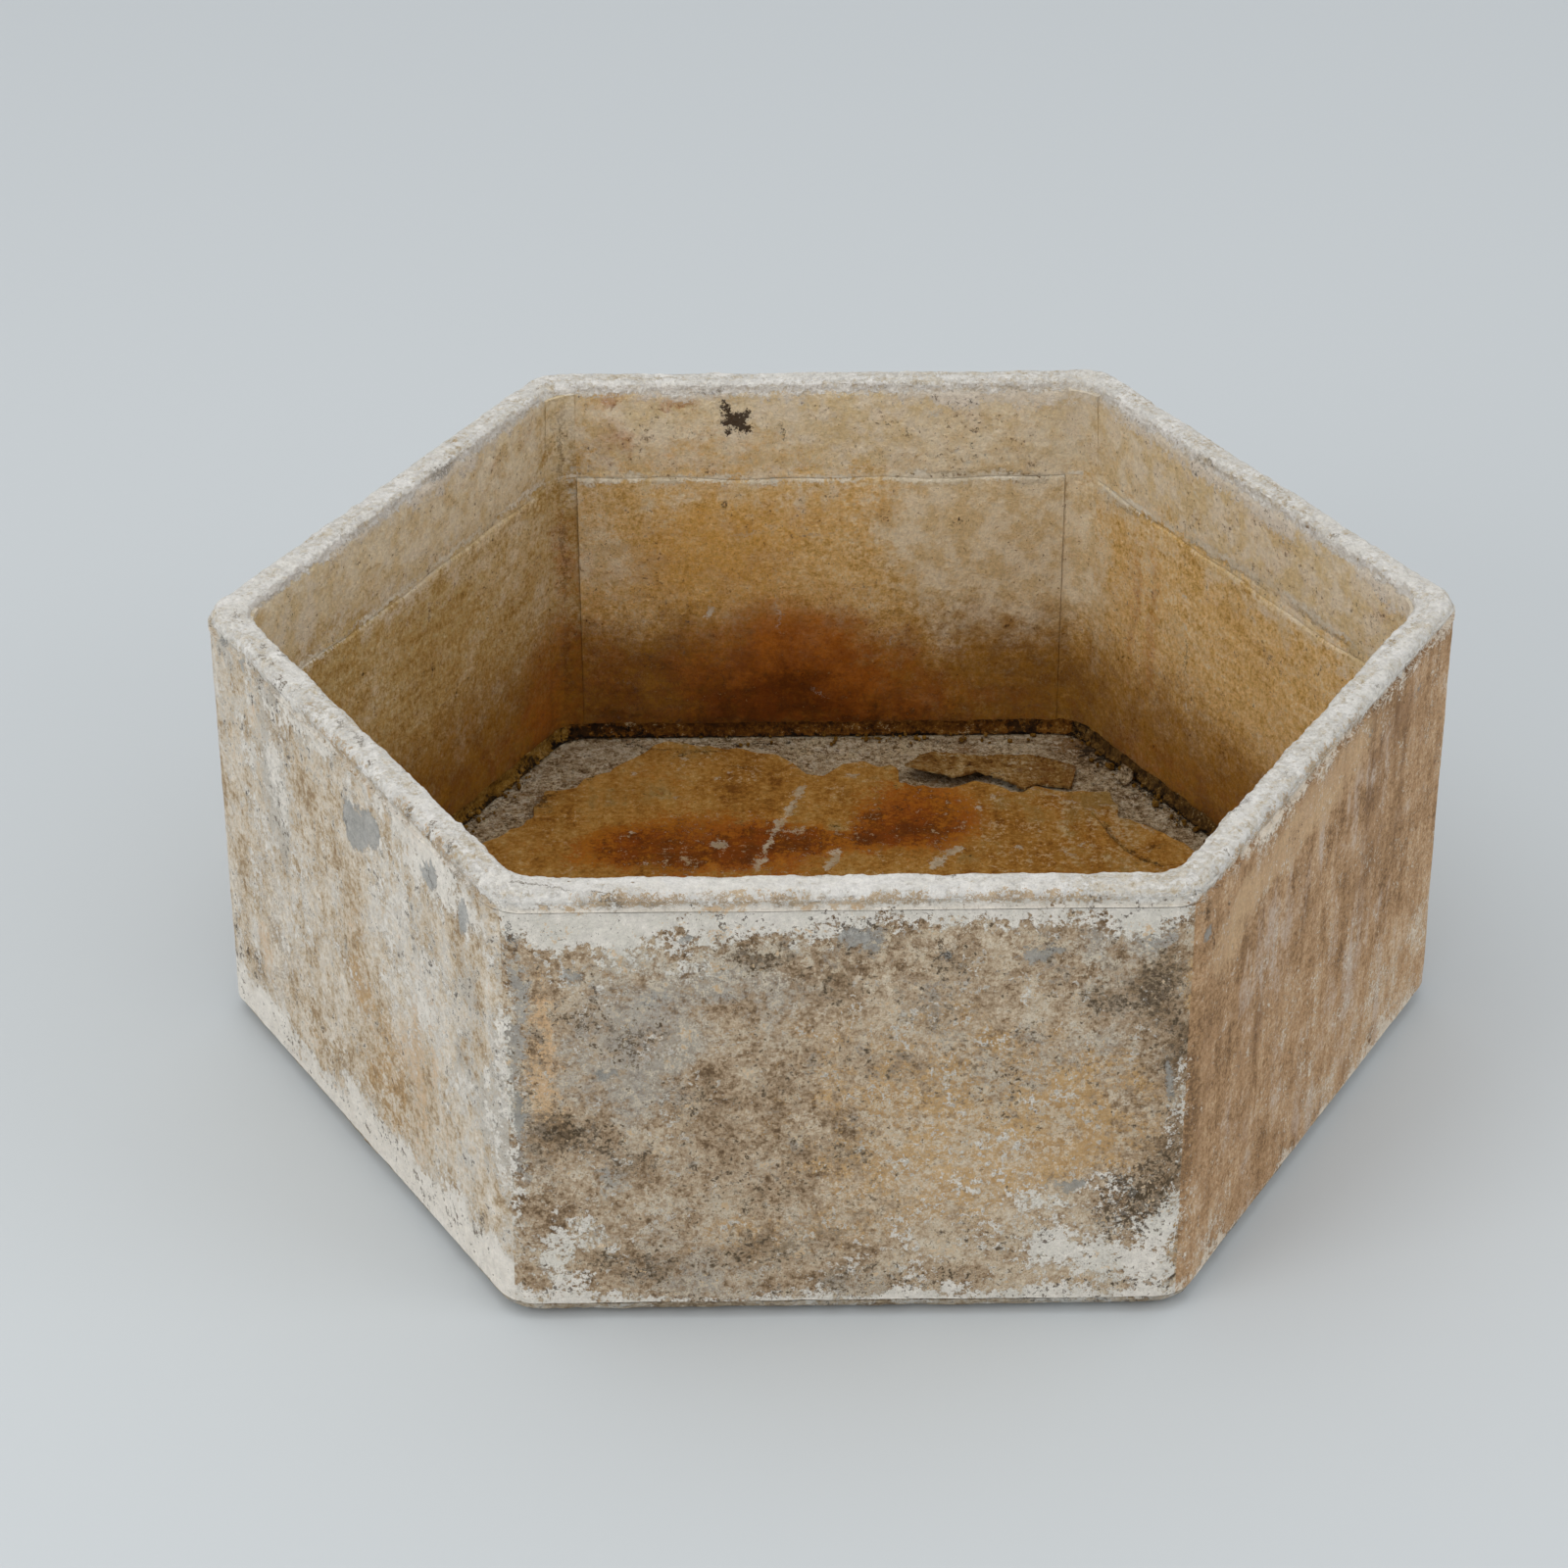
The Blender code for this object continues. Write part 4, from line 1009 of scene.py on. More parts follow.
@dataclass(frozen=True)
class InsideMarks:
    """What is particular to the inner face of one side."""

    rust: tuple[Mark, ...] = ()  # orange and brown stains of rust
    deep_rust: tuple[Mark, ...] = ()  # the darkest of them
    dark: tuple[Mark, ...] = ()  # dark brown and black marks
    pale: tuple[Mark, ...] = ()  # pale chips, scrapes and worn places
    grey: tuple[Mark, ...] = ()  # greyish places
    # The seam's ridge, as a bent line, painted pale: chalk on the ridge, and a painted highlight along its top
    bead: tuple[Mark, ...] = line([(-200, 226), (-110, 225), (-40, 226), (30, 224), (110, 226), (200, 227)], 8, 1.6)
    ochre: tuple[Mark, ...] = ()  # deeper ochre
    powder: tuple[Mark, ...] = ()  # pale powder below the rim
    # Colours of the ground, from the darkest to the palest
    ground: tuple[str, ...] = ("B08644", "D2AA64", "E8C082", "F0D29C", "F3E2C0")
    crack: tuple[Mark, ...] = ()  # fine dark cracks and joint lines, and on the back right side a painted shadow under the seam ridge

    def finish(self) -> Finish:
        """The stained cement of this side's lining and collar, with painted shade along the lining's foot and a
        painted highlight on the seam ridge.
        """
        return Finish(
            ground=self.ground,
            clouds=Clouds(drawn=(0.22, 1, 1), middle=55, fine=260, strokes=120),
            weights=(0.1, 0.1, 0.26, 0.14),
            grain=0.13,
            relief=(0.3, 0.26),
            rough=0.88,
            washes=(
                Wash("EEE2CB", -0.75, (0.3, 0.3, 0.25, 0.15), (band(310, 120, 1.8),), 0.6, 0.85, 0, 1, "E2CDA2"),
                Wash("F5E8CD", -0.75, (0.4, 0.3, 0.25, 0.15), self.grey, 0.7, 0.8, 0, 2, "E2CBA0"),
                Wash("DEA850", -1, (0.3, 0.25, 0.25, 0.15), self.ochre, 0.9, 0.8, 0, 0, "D29A42"),
                # darker ochre-brown towards the bottom of the lining
                Wash("9A6816", -0.95, (0.25, 0.2, 0.22, 0.15), (band(0, 150, 1.7),), 0.9, 0.9, 0, 0, "845408"),
                Wash("B8681A", -0.95, (0.2, 0.22, 0.22, 0.15), self.rust, 1, 0.85, 0, 1, "A2560C"),
                # deep rust stains, and a band of painted shade along the foot of the lining
                Wash("74390A", -1.1, (0.15, 0.2, 0.26, 0.2), (band(4, 40, 0.7), *self.deep_rust),
                     0.9, 0.88, 0, 2, "5C2E07"),
                Wash("CDB078", -1.6, (0.1, 0.35, 1, 0.15), (), 0.2, 0.5, 0.04, 2),
                Wash("E8DCC8", -2.4, (0.15, 0.4, 0.6, 0), (band(299, 18, 3.6, 0.9), *self.powder),
                     0.3, 0.85, 0.1, 0, "EDE4D6"),
                Wash("6A5230", -1.35, (0.2, 0.35, 1.1, 0), (), 0.16, 0.6, -0.12, 1, "44331E"),
                # pale chalk on the seam ridge, with a painted highlight where its top faces up
                Wash("EFE6D4", -0.95, (0.1, 0.2, 0.28, 0.1), self.bead, 0.6, 0.9, 0.3, 0, "E2D5BC", True),
                Wash("DCD5C6", -1, (0, 0.25, 0.3, 0), self.pale, 0.2, 0.8, -0.15, 0, "", True),
                Wash("2A1308", -1, (0, 0.4, 0.55, 0), self.dark, 0.2, 0.92, -0.3, 0, "", True),
                # dark cracks and joint lines, and a painted shadow under the seam ridge where that is given
                Wash("64451E", -1, (0, 0.4, 0.6, 0), self.crack, 0.4, 0.6, -0.3, 1, "", True),
            ),
        )


DULL_OCHRE = ("9E7638", "BA9352", "CAA66A", "D3B780", "DECCA2")
INSIDE_MARKS = {
    Side.FRONT: InsideMarks(ground=DULL_OCHRE),
    Side.FRONT_RIGHT: InsideMarks(rust=(Mark(40, 60, 90, 50, 0, 0.6),), ground=DULL_OCHRE),
    Side.FRONT_LEFT: InsideMarks(rust=(Mark(-60, 50, 80, 40, 0, 0.6),), ground=DULL_OCHRE),
    Side.BACK: InsideMarks(
        powder=marks((-60, 290, 100, 16, 0, 1.7), (-160, 284, 40, 22, 0, 1.6), (80, 292, 60, 12)),
        ochre=marks(
            (76, 165, 96, 66, 0, 1.1), (70, 242, 100, 34, 0, 0.7), (160, 282, 40, 16, 0, 0.7),
            (-20, 200, 60, 30, 0, 0.5)),
        rust=marks(
            (44, 66, 110, 74, 0, 1.2), (-24, 60, 100, 70), (14, 110, 60, 50, 0, 0.6), (163, 70, 26, 70, 0, 0.5),
            (146, 286, 16, 9, 0, 1.1), (122, 291, 20, 7), (100, 284, 18, 8, 0, 0.9), (-120, 40, 80, 30, 0, 0.5),
            (150, 255, 24, 20, 0, 0.8)),
        deep_rust=marks(
            (40, 56, 80, 44, -6, 0.8), (0, 40, 110, 36, -6, 0.8), (130, 50, 70, 60, 10, 0.7),
            (-60, 30, 90, 26, 0, 0.5), (163, 40, 30, 40, 0, 0.5)),
        dark=(
            marks((60, 274, 9, 6, 40, 2.4, 0.7), (66, 281, 8, 3, 60, 2.2, 0.7), (55, 266, 9, 4, 30, 2.2, 0.7),
            (67, 271, 6, 4, -20, 2, 0.7), (52, 275, 7, 3, -40, 1.9, 0.8), (64, 263, 3, 5, 0, 1.9, 0.8),
            (68, 205, 5, 1.2, -50, 2)) + line([(29, 268), (25, 261), (26, 255)], 1.8) + dots([(-51, 117),
            (-107, 262), (-107, 250)], 2) + dots([(-104, 286), (-108, 270), (-110, 240), (-114, 256), (-45, 268),
            (-60, 262)], 1.4)
        ),
        pale=(
            marks((80, 117, 4, 6, 10, 2, 0.7), (34, 223, 3, 4, 0, 2), (-80, 276, 5, 2.5, 0, 2),
            (-97, 248, 3, 3, 0, 1.8), (-105, 238, 3, 3, 0, 1.8)) + line([(30, 138), (31, 98)], 1.3, 1.6)
            + line([(-51, 98), (-51, 88)], 1.8) + line([(70, 181), (30, 182)], 1.1, 1.5) + line([(20, 181),
            (-10, 180)], 1, 1.4) + line([(10, 55), (-10, 47)], 1.2, 1.5)
        ),
        grey=(
            band(268, 40, 0.5), *marks((159, 171, 30, 40, 0, 0.8), (132, 155, 26, 20, 0, 0.6),
            (-130, 180, 130, 110, 10, 1.8), (100, 255, 50, 15, 0, 0.5), (-130, 110, 70, 50, 0, 0.7),
            (120, 210, 70, 14, 0, 0.6), (-60, 190, 60, 26, 0, 0.4))),
        bead=(
            line([(200, 232), (177, 231), (170, 225), (158, 224)], 10, 1.9) + line([(158, 224), (142, 227),
            (120, 227)], 9, 1.8) + line([(120, 227), (95, 226), (60, 225)], 8, 1.8) + line([(60, 225), (26, 223)],
            7, 1.6) + line([(26, 223), (-43, 226)], 7, 1.4) + line([(-43, 226), (-113, 225), (-169, 224),
            (-200, 226)], 11, 1.8)
        ),
        crack=(
            line([(170, 36), (98, 31), (-9, 25), (-117, 27), (-174, 23)], 1.8, 1.6) + line([(-60, 312), (-66, 300),
            (-69, 296)], 1.5) + line([(-60, 230), (-160, 229)], 1.1, 1.6)
        ),
    ),
    Side.BACK_LEFT: InsideMarks(
        ground=("967238", "B38E50", "C4A368", "CEB47E", "DAC9A0"),
        rust=marks((-165, 60, 40, 80, 0, 0.8), (-100, 40, 120, 40, 0, 0.4), (-186, 150, 14, 90, 0, 0.6)),
        deep_rust=(Mark(-185, 60, 20, 60, 0, 0.7),),
        dark=(
            dots([(-21, 155), (126, 84), (-68, 125), (-50, 120), (60, 190)], 2) + line([(-21, 160), (-20, 148)],
            1.5)
        ),
        grey=(band(275, 44, 0.9), *marks((-110, 210, 60, 60, 40, 0.7), (60, 180, 60, 40, 0, 0.4))),
        bead=line([(-200, 231), (-100, 230), (-14, 229), (69, 226), (180, 230)], 5.5, 1.9),
    ),
    Side.BACK_RIGHT: InsideMarks(
        rust=marks((100, 150, 8, 100, 0, 0.7), (122, 150, 6, 90, 0, 0.7), (20, 40, 160, 30, 0, 0.5)),
        deep_rust=(Mark(60, 20, 140, 16, 0, 0.4),),
        dark=line([(60, 156), (58, 120)], 1.3) + dots([(57, 285), (63, 210), (-20, 140), (50, 110)], 1.6),
        pale=dots([(57, 267), (57, 240), (62, 185), (60, 163), (55, 102)], 3) + line([(57, 262), (58, 246)], 1.4),
        grey=marks((150, 250, 50, 50), (40, 180, 90, 60, 0, 0.3), (178, 140, 34, 120)),
        bead=line([(200, 222), (178, 222), (77, 231), (-35, 237), (-132, 234), (-190, 232)], 8, 1.6),
        # a painted shadow under the seam ridge, along its lower edge
        crack=line([(170, 218), (77, 227), (-35, 233), (-132, 230)], 1.2, 1.6),
    ),
}


# Finish of the rim

RIM_CLOUDS = Clouds(broad=10, middle=60, fine=240, strokes=170, drawn=(0.14, 1, 1))
RIM_WHITES = {Side.FRONT: (Mark(-60, 334, 170, 16),)}
RIM_FOLDS = {
    Side.FRONT: line([(-160, 345), (-80, 344.5), (-20, 345.5), (60, 345), (160, 346)], 3.8, 1.9),
    Side.FRONT_RIGHT: line([(-180, 345), (-60, 346), (40, 345)], 3.8, 1.6),
    Side.FRONT_LEFT: line([(-60, 346), (60, 345.5), (180, 346)], 3.8, 1.6),
}
RIM_TICKS = {
    Side.FRONT: line([(-196, 330), (-150, 341), (-124, 347)], 2.2, 1.6) + dots([(141, 345), (60, 326)], 3),
    Side.FRONT_LEFT: (
        line([(-26, 334), (-16, 336)], 1.4) + line([(-76, 333), (-75, 343)], 1.4) + line([(-19, 333), (15, 334)],
        1.2) + line([(-117, 322), (-115, 330)], 2) + line([(-192, 321), (-186, 328), (-176, 334)], 1.3)
        + line([(40, 322), (52, 326)], 1.4) + dots([(-122, 341), (-112, 340), (-92, 342), (-84, 343), (30, 340),
        (117, 344), (112, 340), (139, 342), (134, 339), (88, 344), (-135, 334), (6, 336), (-123, 327)], 2.4)
    ),
    Side.FRONT_RIGHT: dots([(-154, 341), (-60, 338), (70, 342)], 2) + line([(-120, 326), (-90, 328)], 1.2),
    Side.BACK: (
        line([(-35, 319), (-46, 322)], 1.8) + line([(-63, 320), (-83, 321), (-97, 314)], 1.8) + line([(60, 322),
        (90, 324)], 1.2)
    ),
    Side.BACK_LEFT: line([(-60, 322), (-30, 326)], 1.2),
    Side.BACK_RIGHT: line([(20, 321), (60, 323)], 1.6) + dots([(-90, 330)], 2),
}
RIM_TANS = {
    Side.FRONT: marks((-160, 338, 36, 6, 12, 0.6), (60, 326, 60, 6, 0, 0.4), (150, 330, 40, 6, -6, 0.5)),
    Side.FRONT_LEFT: marks(
        (-130, 342, 12, 5, 0, 1.6), (-96, 343, 8, 4, 0, 1.5), (-56, 341, 9, 4, 0, 1.4), (26, 343, 11, 5, 0, 1.7),
        (56, 345, 12, 4, 0, 1.6), (82, 342, 13, 5, 0, 1.7), (115, 342, 9, 5, 0, 1.6), (138, 341, 10, 5, 0, 1.6),
        (-173, 342, 10, 5, 0, 1.1), (172, 342, 8, 5, 0, 1.1), (-30, 347, 160, 4, 0, 0.7)),
    Side.FRONT_RIGHT: marks((-100, 344, 80, 5, 0, 0.7), (100, 328, 60, 6, 0, 0.5)),
    Side.BACK: (Mark(0, 322, 180, 4, 0, 0.6),),
    Side.BACK_LEFT: marks((60, 338, 80, 8, 0, 0.5), (-120, 330, 60, 8, 0, 0.5)),
    Side.BACK_RIGHT: marks((-60, 330, 80, 8, 0, 0.6), (120, 338, 60, 8, 0, 0.5)),
}


@dataclass(frozen=True)
class RimFinish:
    """Chalky limewash on a side's rim, and its stained leg inside."""

    side: Side
    leg_top: float  # height above which the leg is rim, in millimetres
    leg_face: float  # distance beyond which it is the lip outside, in millimetres
    seam: float  # height of the collar's foot inside, in millimetres
    lap: float  # height of the lip's foot outside, in millimetres
    reach: float = 200  # half the height of the zone below an edge, in millimetres

    def chalk(self) -> Finish:
        """The rim's own finish."""
        washes = (
            Wash("CFC8BA", -1.2, (0.35, 0.6, 0.5, 0.45), (), 0.15, 0.75, -0.15, 1, "C0B7A8"),
            Wash("D2B992", -1.4, (0.2, 0.7, 0.55, 0.55), RIM_TANS[self.side], 0.1, 0.85, -0.3, 2, "C2A680"),
            Wash("F6F3EE", 0.1, (0.3, 0.7, 0.6, 0.4), RIM_WHITES.get(self.side, ()), 0.1, 0.85, 0.25, 0, "F1EDE5"),
            Wash("A08A6C", -2, (0.1, 0.5, 0.8, 0.9), (), 0.1, 0.8, -0.25, 2, "75634E"),
            Wash("CDB189", -1, (0.25, 0.45, 0.15, 0.1), RIM_FOLDS.get(self.side, ()), 0.2, 0.85, -0.15, 1,
                 "BFA27C", True),
            Wash("7A6851", -1, (0, 0.35, 0.4, 0), RIM_TICKS[self.side], 0.2, 0.8, -0.4, 0, "", True),
        )
        return Finish(
            ground=("BBA98C", "DACFBC", "E6E0D5", "EDE9E2", "F1EEE9"), clouds=RIM_CLOUDS,
            weights=(0.08, 0.14, 0.24, 0.14), relief=(0.4, 0.35),
            washes=tuple(replace(wash, plane=Plane.TOP) for wash in washes),
        )

    def _below(self, edge: float, plane: Plane, surface: Surface) -> Socket:
        """Where a place on a plane is lower than an edge, in millimetres, with a ragged limit."""
        mark = band(edge - self.reach, self.reach, softness=0.02)
        wash = Wash("", -0.5, (0, 0.12, 0.12, 0), (mark,), softness=0.3, strength=1, crisp=True, plane=plane)
        return surface.shown(wash)

    def material(self, name: str, effects: Effects) -> Material:
        """The material of the whole collar, from its lip outside to its foot inside."""
        surface = Surface(name, effects, self.side.value)
        stains = INSIDE_MARKS[self.side].finish().above(self.seam)
        chalk = self.chalk()
        coats = [(finish.paint(surface), surface.height)
                 for finish in (stains, WALL_FINISHES[self.side].above(self.lap), chalk)]
        (stained, stained_height), (washed, washed_height), (base, height) = coats
        low = self._below(self.leg_top, Plane.SIDE, surface)
        near = self._below(self.leg_face, Plane.TOP, surface)
        inside = surface.math("MULTIPLY", low, near)
        lip = surface.math("SUBTRACT", low, inside)
        height = surface.math("MULTIPLY", height, surface.math("SUBTRACT", 1, low))
        height = surface.math("MULTIPLY_ADD", stained_height, inside, height)
        surface.height = surface.math("MULTIPLY_ADD", washed_height, lip, height)
        stained_base = surface.mix(inside, base, stained)
        return surface.finish(surface.mix(lip, stained_base, washed), chalk.grain, chalk.rough)


# Finishes of the floor

RUST_A = marks(
    (-95, 168, 100, 52, 8, 1.5), (-150, 160, 46, 34, 30, 0.8), (-30, 160, 60, 46), (-60, 60, 140, 100, 0, 0.7))
RUST_B = marks((66, 200, 64, 66, 0, 1.8), (10, 170, 50, 24, 0, 0.9), (100, -60, 90, 90, 0, 0.6))
FLOOR_PALE = (
    line([(-12, 247), (-20, 224), (-29, 197), (-37, 175), (-44, 151), (-50, 128)], 7, 2.3) + line([(-12, 186),
    (-29, 180)], 4) + line([(8, 158), (0, 127)], 9, 2.2) + line([(96, 158), (82, 146), (71, 126)], 10, 2.2)
    + line([(137, 242), (154, 233), (170, 220), (184, 211), (200, 197)], 2.4, 1.6) + line([(194, 213), (208, 210),
    (220, 193), (232, 172)], 2.2, 1.6) + dots([(-136, 182), (-127, 139), (-100, 284), (-68, 264), (-105, 229),
    (-135, 263), (-22, 278), (-77, 255), (110, 208), (122, 225), (169, 147), (135, 155), (180, 158), (40, 120),
    (-150, 100)], 3.2, 2) + marks((-75, 164, 8, 5, 0, 2.4, 0.5), (-8, 269, 12, 4, 0, 2.2, 0.6),
    (22, 258, 6, 3, 20, 2))
)
PLY_FINISH = Finish(
    ground=("80521F", "A06E2C", "B4833E", "C29550", "D0AA6A"),
    clouds=Clouds(broad=9, middle=52, fine=250, strokes=120, drawn=(1, 0.08, 1)),
    weights=(0.16, 0.2, 0.24, 0.12),
    relief=(0.5, 0.3),
    grain=0.13,
    rough=0.85,
    washes=(
        Wash("8E7846", -0.7, (0.7, 0.4, 0.2, 0.2), marks((-230, 60, 90, 160, 0, 0.3), (170, 170, 100, 90, 0, 0.6)),
            0.4, 0.6, 0, 1),
        Wash("B8701C", -0.8, (0.25, 0.3, 0.4, 0.2), RUST_A + RUST_B, 0.6, 0.85, 0, 0, "A8580E"),
        Wash("84400C", -1.6, (0.25, 0.4, 0.6, 0.25), RUST_A + RUST_B + marks((-100, 150, 80, 24, 10, 0.5),
            (60, 185, 46, 30, 0, 0.4)), 0.5, 0.85, -0.05, 2, "5E2D08"),
        Wash("3E2A16", -1.4, (0.2, 0.5, 0.9, 0.2), marks((-196, 251, 18, 6, 20, 1.2), (-206, 232, 12, 7, 60, 1.2),
            (-169, 275, 14, 6, 20), (-180, 262, 30, 12, 30, 0.7), (-110, 295, 70, 8, 0, 0.7),
            (120, 282, 70, 14, -6, 0.8), (-200, 235, 14, 20, 30, 0.5)), 0.2, 0.8, -0.15, 1),
        Wash("CDB68E", -1.05, (0.1, 0.5, 0.8, 0.3), marks((0, 20, 180, 90, 0, 0.2), (160, 180, 100, 80, 0, 0.45)),
            0.3, 0.7, 0.05, 2),
        Wash("D3C6AE", -1, (0, 0.3, 0.35, 0), FLOOR_PALE, 0.2, 0.85, -0.15, 0, "B9A688", True),
        Wash("2E2014", -1, (0, 0.35, 0.4, 0), line([(-68, 275), (-52, 267)], 2) + line([(-141, 297), (-98, 296),
            (-63, 293)], 1.8, 1.5) + line([(197, 190), (201, 170), (208, 156), (218, 143), (234, 128)], 2.6, 2)
            + line([(222, 150), (240, 160)], 1.8, 1.6), 0.25, 0.85, -0.4, 1, "", True),
    ),
)
FLAP_FINISH = Finish(
    ground=("4E3012", "7C5424", "97703A", "AA8852", "C8AE80"),
    clouds=PLY_FINISH.clouds,
    weights=(0.16, 0.22, 0.28, 0.14),
    relief=(0.5, 0.35),
    grain=0.14,
    washes=(
        Wash("6A3A14", -0.75, (0.5, 0.5, 0.3, 0.2), (), 0.35, 0.75, 0, 1),
        Wash("CDBE9F", -0.95, (0.2, 0.6, 0.7, 0.3), (), 0.2, 0.8, 0.08, 2, "B3A07C"),
        Wash("2A1D12", -1.25, (0.2, 0.5, 0.9, 0.2), (), 0.2, 0.85, -0.15),
    ),
)
BACKING_FINISH = Finish(
    ground=("5E4A30", "94795A", "B8A484", "CFBFA4", "E4D9C6"),
    clouds=Clouds(broad=12, middle=90, fine=330, strokes=120, drawn=(1, 1, 1)),
    weights=(0.12, 0.24, 0.34, 0),
    relief=(0.35, 0.3),
    grain=0.18,
    washes=(
        Wash("8A6234", -0.7, (0.7, 0.5, 0.2, 0), (Mark(0, 0, 190, 190, 0, 1.2, 0.5),), 0.35, 0.75, 0, 1),
        Wash("DED2BC", -0.5, (0.3, 0.6, 0.8, 0), (Mark(50, 300, 150, 24, 0, 0.4),), 0.2, 0.85, 0.15, 2, "D2BF9C"),
        Wash("4E3A24", -1.3, (0.3, 0.5, 1.2, 0), (Mark(225, 232, 110, 20, -60, 0.6),), 0.15, 0.85, -0.3, 0,
            "2C2116"),
        Wash("1C140C", -1.5, (0.3, 0.7, 0.8, 0), marks((232, 238, 110, 9, -60, 1.5), (190, 296, 30, 16, -60, 1.1),
            (0, 317, 190, 4, 0, 1.1), (-235, 232, 110, 4, 60)), 0.25, 0.9, -0.2, 1),
    ),
)
DIRTY_COVES = {
    Side.BACK_RIGHT: ("2E1D0C", "4A3214", "654820", "80602F", "A88C5C"),
    Side.BACK: ("361E08", "54300C", "6C4212", "82561E", "98723A"),
}
COVE_FINISH = Finish(
    ground=("50350F", "735018", "8A6424", "9C7634", "B29058"),
    clouds=Clouds(broad=14, middle=80, fine=260, strokes=120, drawn=(1, 1, 1)),
    weights=(0.16, 0.2, 0.28, 0),
    relief=(0.5, 0.35),
    grain=0.14,
    washes=(
        Wash("C6B490", -1.35, (0.4, 0.6, 0.8, 0), (), 0.2, 0.8, 0.1, 2),
        Wash("2A1C10", -1.6, (0.4, 0.6, 0.8, 0), marks((0, 319, 3000, 5, 0, 1.2), (-180, 318, 60, 14, 0, 1.5),
            (180, 318, 60, 14, 0, 1.5)), 0.25, 0.85, -0.3, 0, "34230F", False, Plane.TOP),
        Wash("120C07", -1, (0.2, 0.35, 0.3, 0), (Mark(0, 318.6, 3000, 2.6, 0, 1.9, 0.8),), 0.3, 0.95, -0.3, 0, "",
            True, Plane.TOP),
    ),
)
BASE_FINISH = Finish(
    ground=("7A6852", "9C8A72", "B5A690", "C6BBAB", "D6D0C4"),
    weights=(0.16, 0.24, 0.3, 0),
    grain=0.12,
    washes=(
        Wash("DEDAD1", -0.35, (0.4, 0.6, 0.5, 0), (), 0.18, 0.9, 0.2, 0, "C8C6C0"),
        Wash("4F4336", -1.05, (0.2, 0.6, 0.9, 0), (), 0.2, 0.8, -0.1, 2),
    ),
)


# The planter's sizes

@dataclass(frozen=True)
class PlanterSizes:
    """Sizes that the sheets share, in metres."""

    half_width: float  # from the middle to an outer side
    height: float
    outer: float  # from the middle to the outer face of the rim's lip
    base_top: float
    wall_foot: float
    wall_top: float
    backing_low: float
    backing_top: float
    ply_low: float
    ply_top: float
    seam: float  # height of the seam between the linings and the collars
    lining_top: float
    strip_edge: float  # way along a side at which its corner strips start
    lining_head: float  # inner face of the lining at the seam
    cove_top: float
    wall_inner: float
    corner_radius: float = 0.026
    base_radius: float = 0.015
    rim_width: float = 0.0255  # of the rim's top, with the lip
    lip_depth: float = 0.014
    lip_thickness: float = 0.0035
    collar_top: float = 0.009
    collar_foot_wall: float = 0.0212  # from the collar's inner face at the seam to the outer side
    lining_foot_wall: float = 0.0203  # from the lining's inner face at the floor to the outer side
    rim_outer_radius: float = 0.008
    rim_inner_radius: float = 0.005
    nose_radius: float = 0.003  # of the lining's edge at the seam
    cove_width: float = 0.006
    cove_edge: float = 0.001
    drain_radius: float = 0.0125
    joint: float = 0.0003  # clearance between two sheets

    @property
    def lip_foot(self) -> float:
        """Height of the lip's lower edge."""
        return self.height - self.lip_depth

    @property
    def collar_under(self) -> float:
        """Height of the underside of the collar's top."""
        return self.height - self.collar_top

    @property
    def lip_inner(self) -> float:
        """Distance of the lip's inner face."""
        return self.outer - self.lip_thickness

    @property
    def rim_inner(self) -> float:
        """Distance of the rim's inner edge."""
        return self.half_width - self.rim_width

    @property
    def collar_foot(self) -> float:
        """Distance of the collar's inner face at the seam."""
        return self.half_width - self.collar_foot_wall

    @property
    def lining_foot(self) -> float:
        """Distance of the lining's inner face at the floor."""
        return self.half_width - self.lining_foot_wall

    @property
    def liner_back(self) -> float:
        """Distance of the back of the linings and collars."""
        return self.wall_inner - self.joint

    @classmethod
    def of_frame(cls) -> "PlanterSizes":
        """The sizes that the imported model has."""
        wall_low, wall_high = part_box("wall_sheet_back")
        rim_low, rim_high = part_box("rim_collar_back")
        lining_low, lining_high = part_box("lining_sheet_back")
        backing_low, backing_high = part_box("floor_backing_ply")
        ply_low, ply_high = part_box("floor_ply")
        _, base_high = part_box("base_sheet")
        _, cove_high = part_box("floor_cove_back")
        return cls(
            half_width=wall_high.y, height=rim_high.z, outer=rim_high.y, base_top=base_high.z,
            wall_foot=wall_low.z, wall_top=wall_high.z, backing_low=backing_low.z, backing_top=backing_high.z,
            ply_low=ply_low.z, ply_top=ply_high.z, seam=rim_low.z, lining_top=lining_high.z,
            strip_edge=lining_high.x, lining_head=lining_low.y, cove_top=cove_high.z,
            wall_inner=backing_high.y + cls.joint,
        )

    def outer_distance(self, height: float) -> float:
        """Distance of the outer face at a height, with the rounded bottom edge."""
        if height >= self.base_radius:
            return self.half_width
        drop = self.base_radius - height
        return self.half_width - self.base_radius + math.sqrt(self.base_radius ** 2 - drop ** 2)

    def collar_distance(self, height: float) -> float:
        """Distance of the collar's inner face at a height."""
        share = (height - self.seam) / (self.height - self.seam)
        return self.collar_foot + (self.rim_inner - self.collar_foot) * share


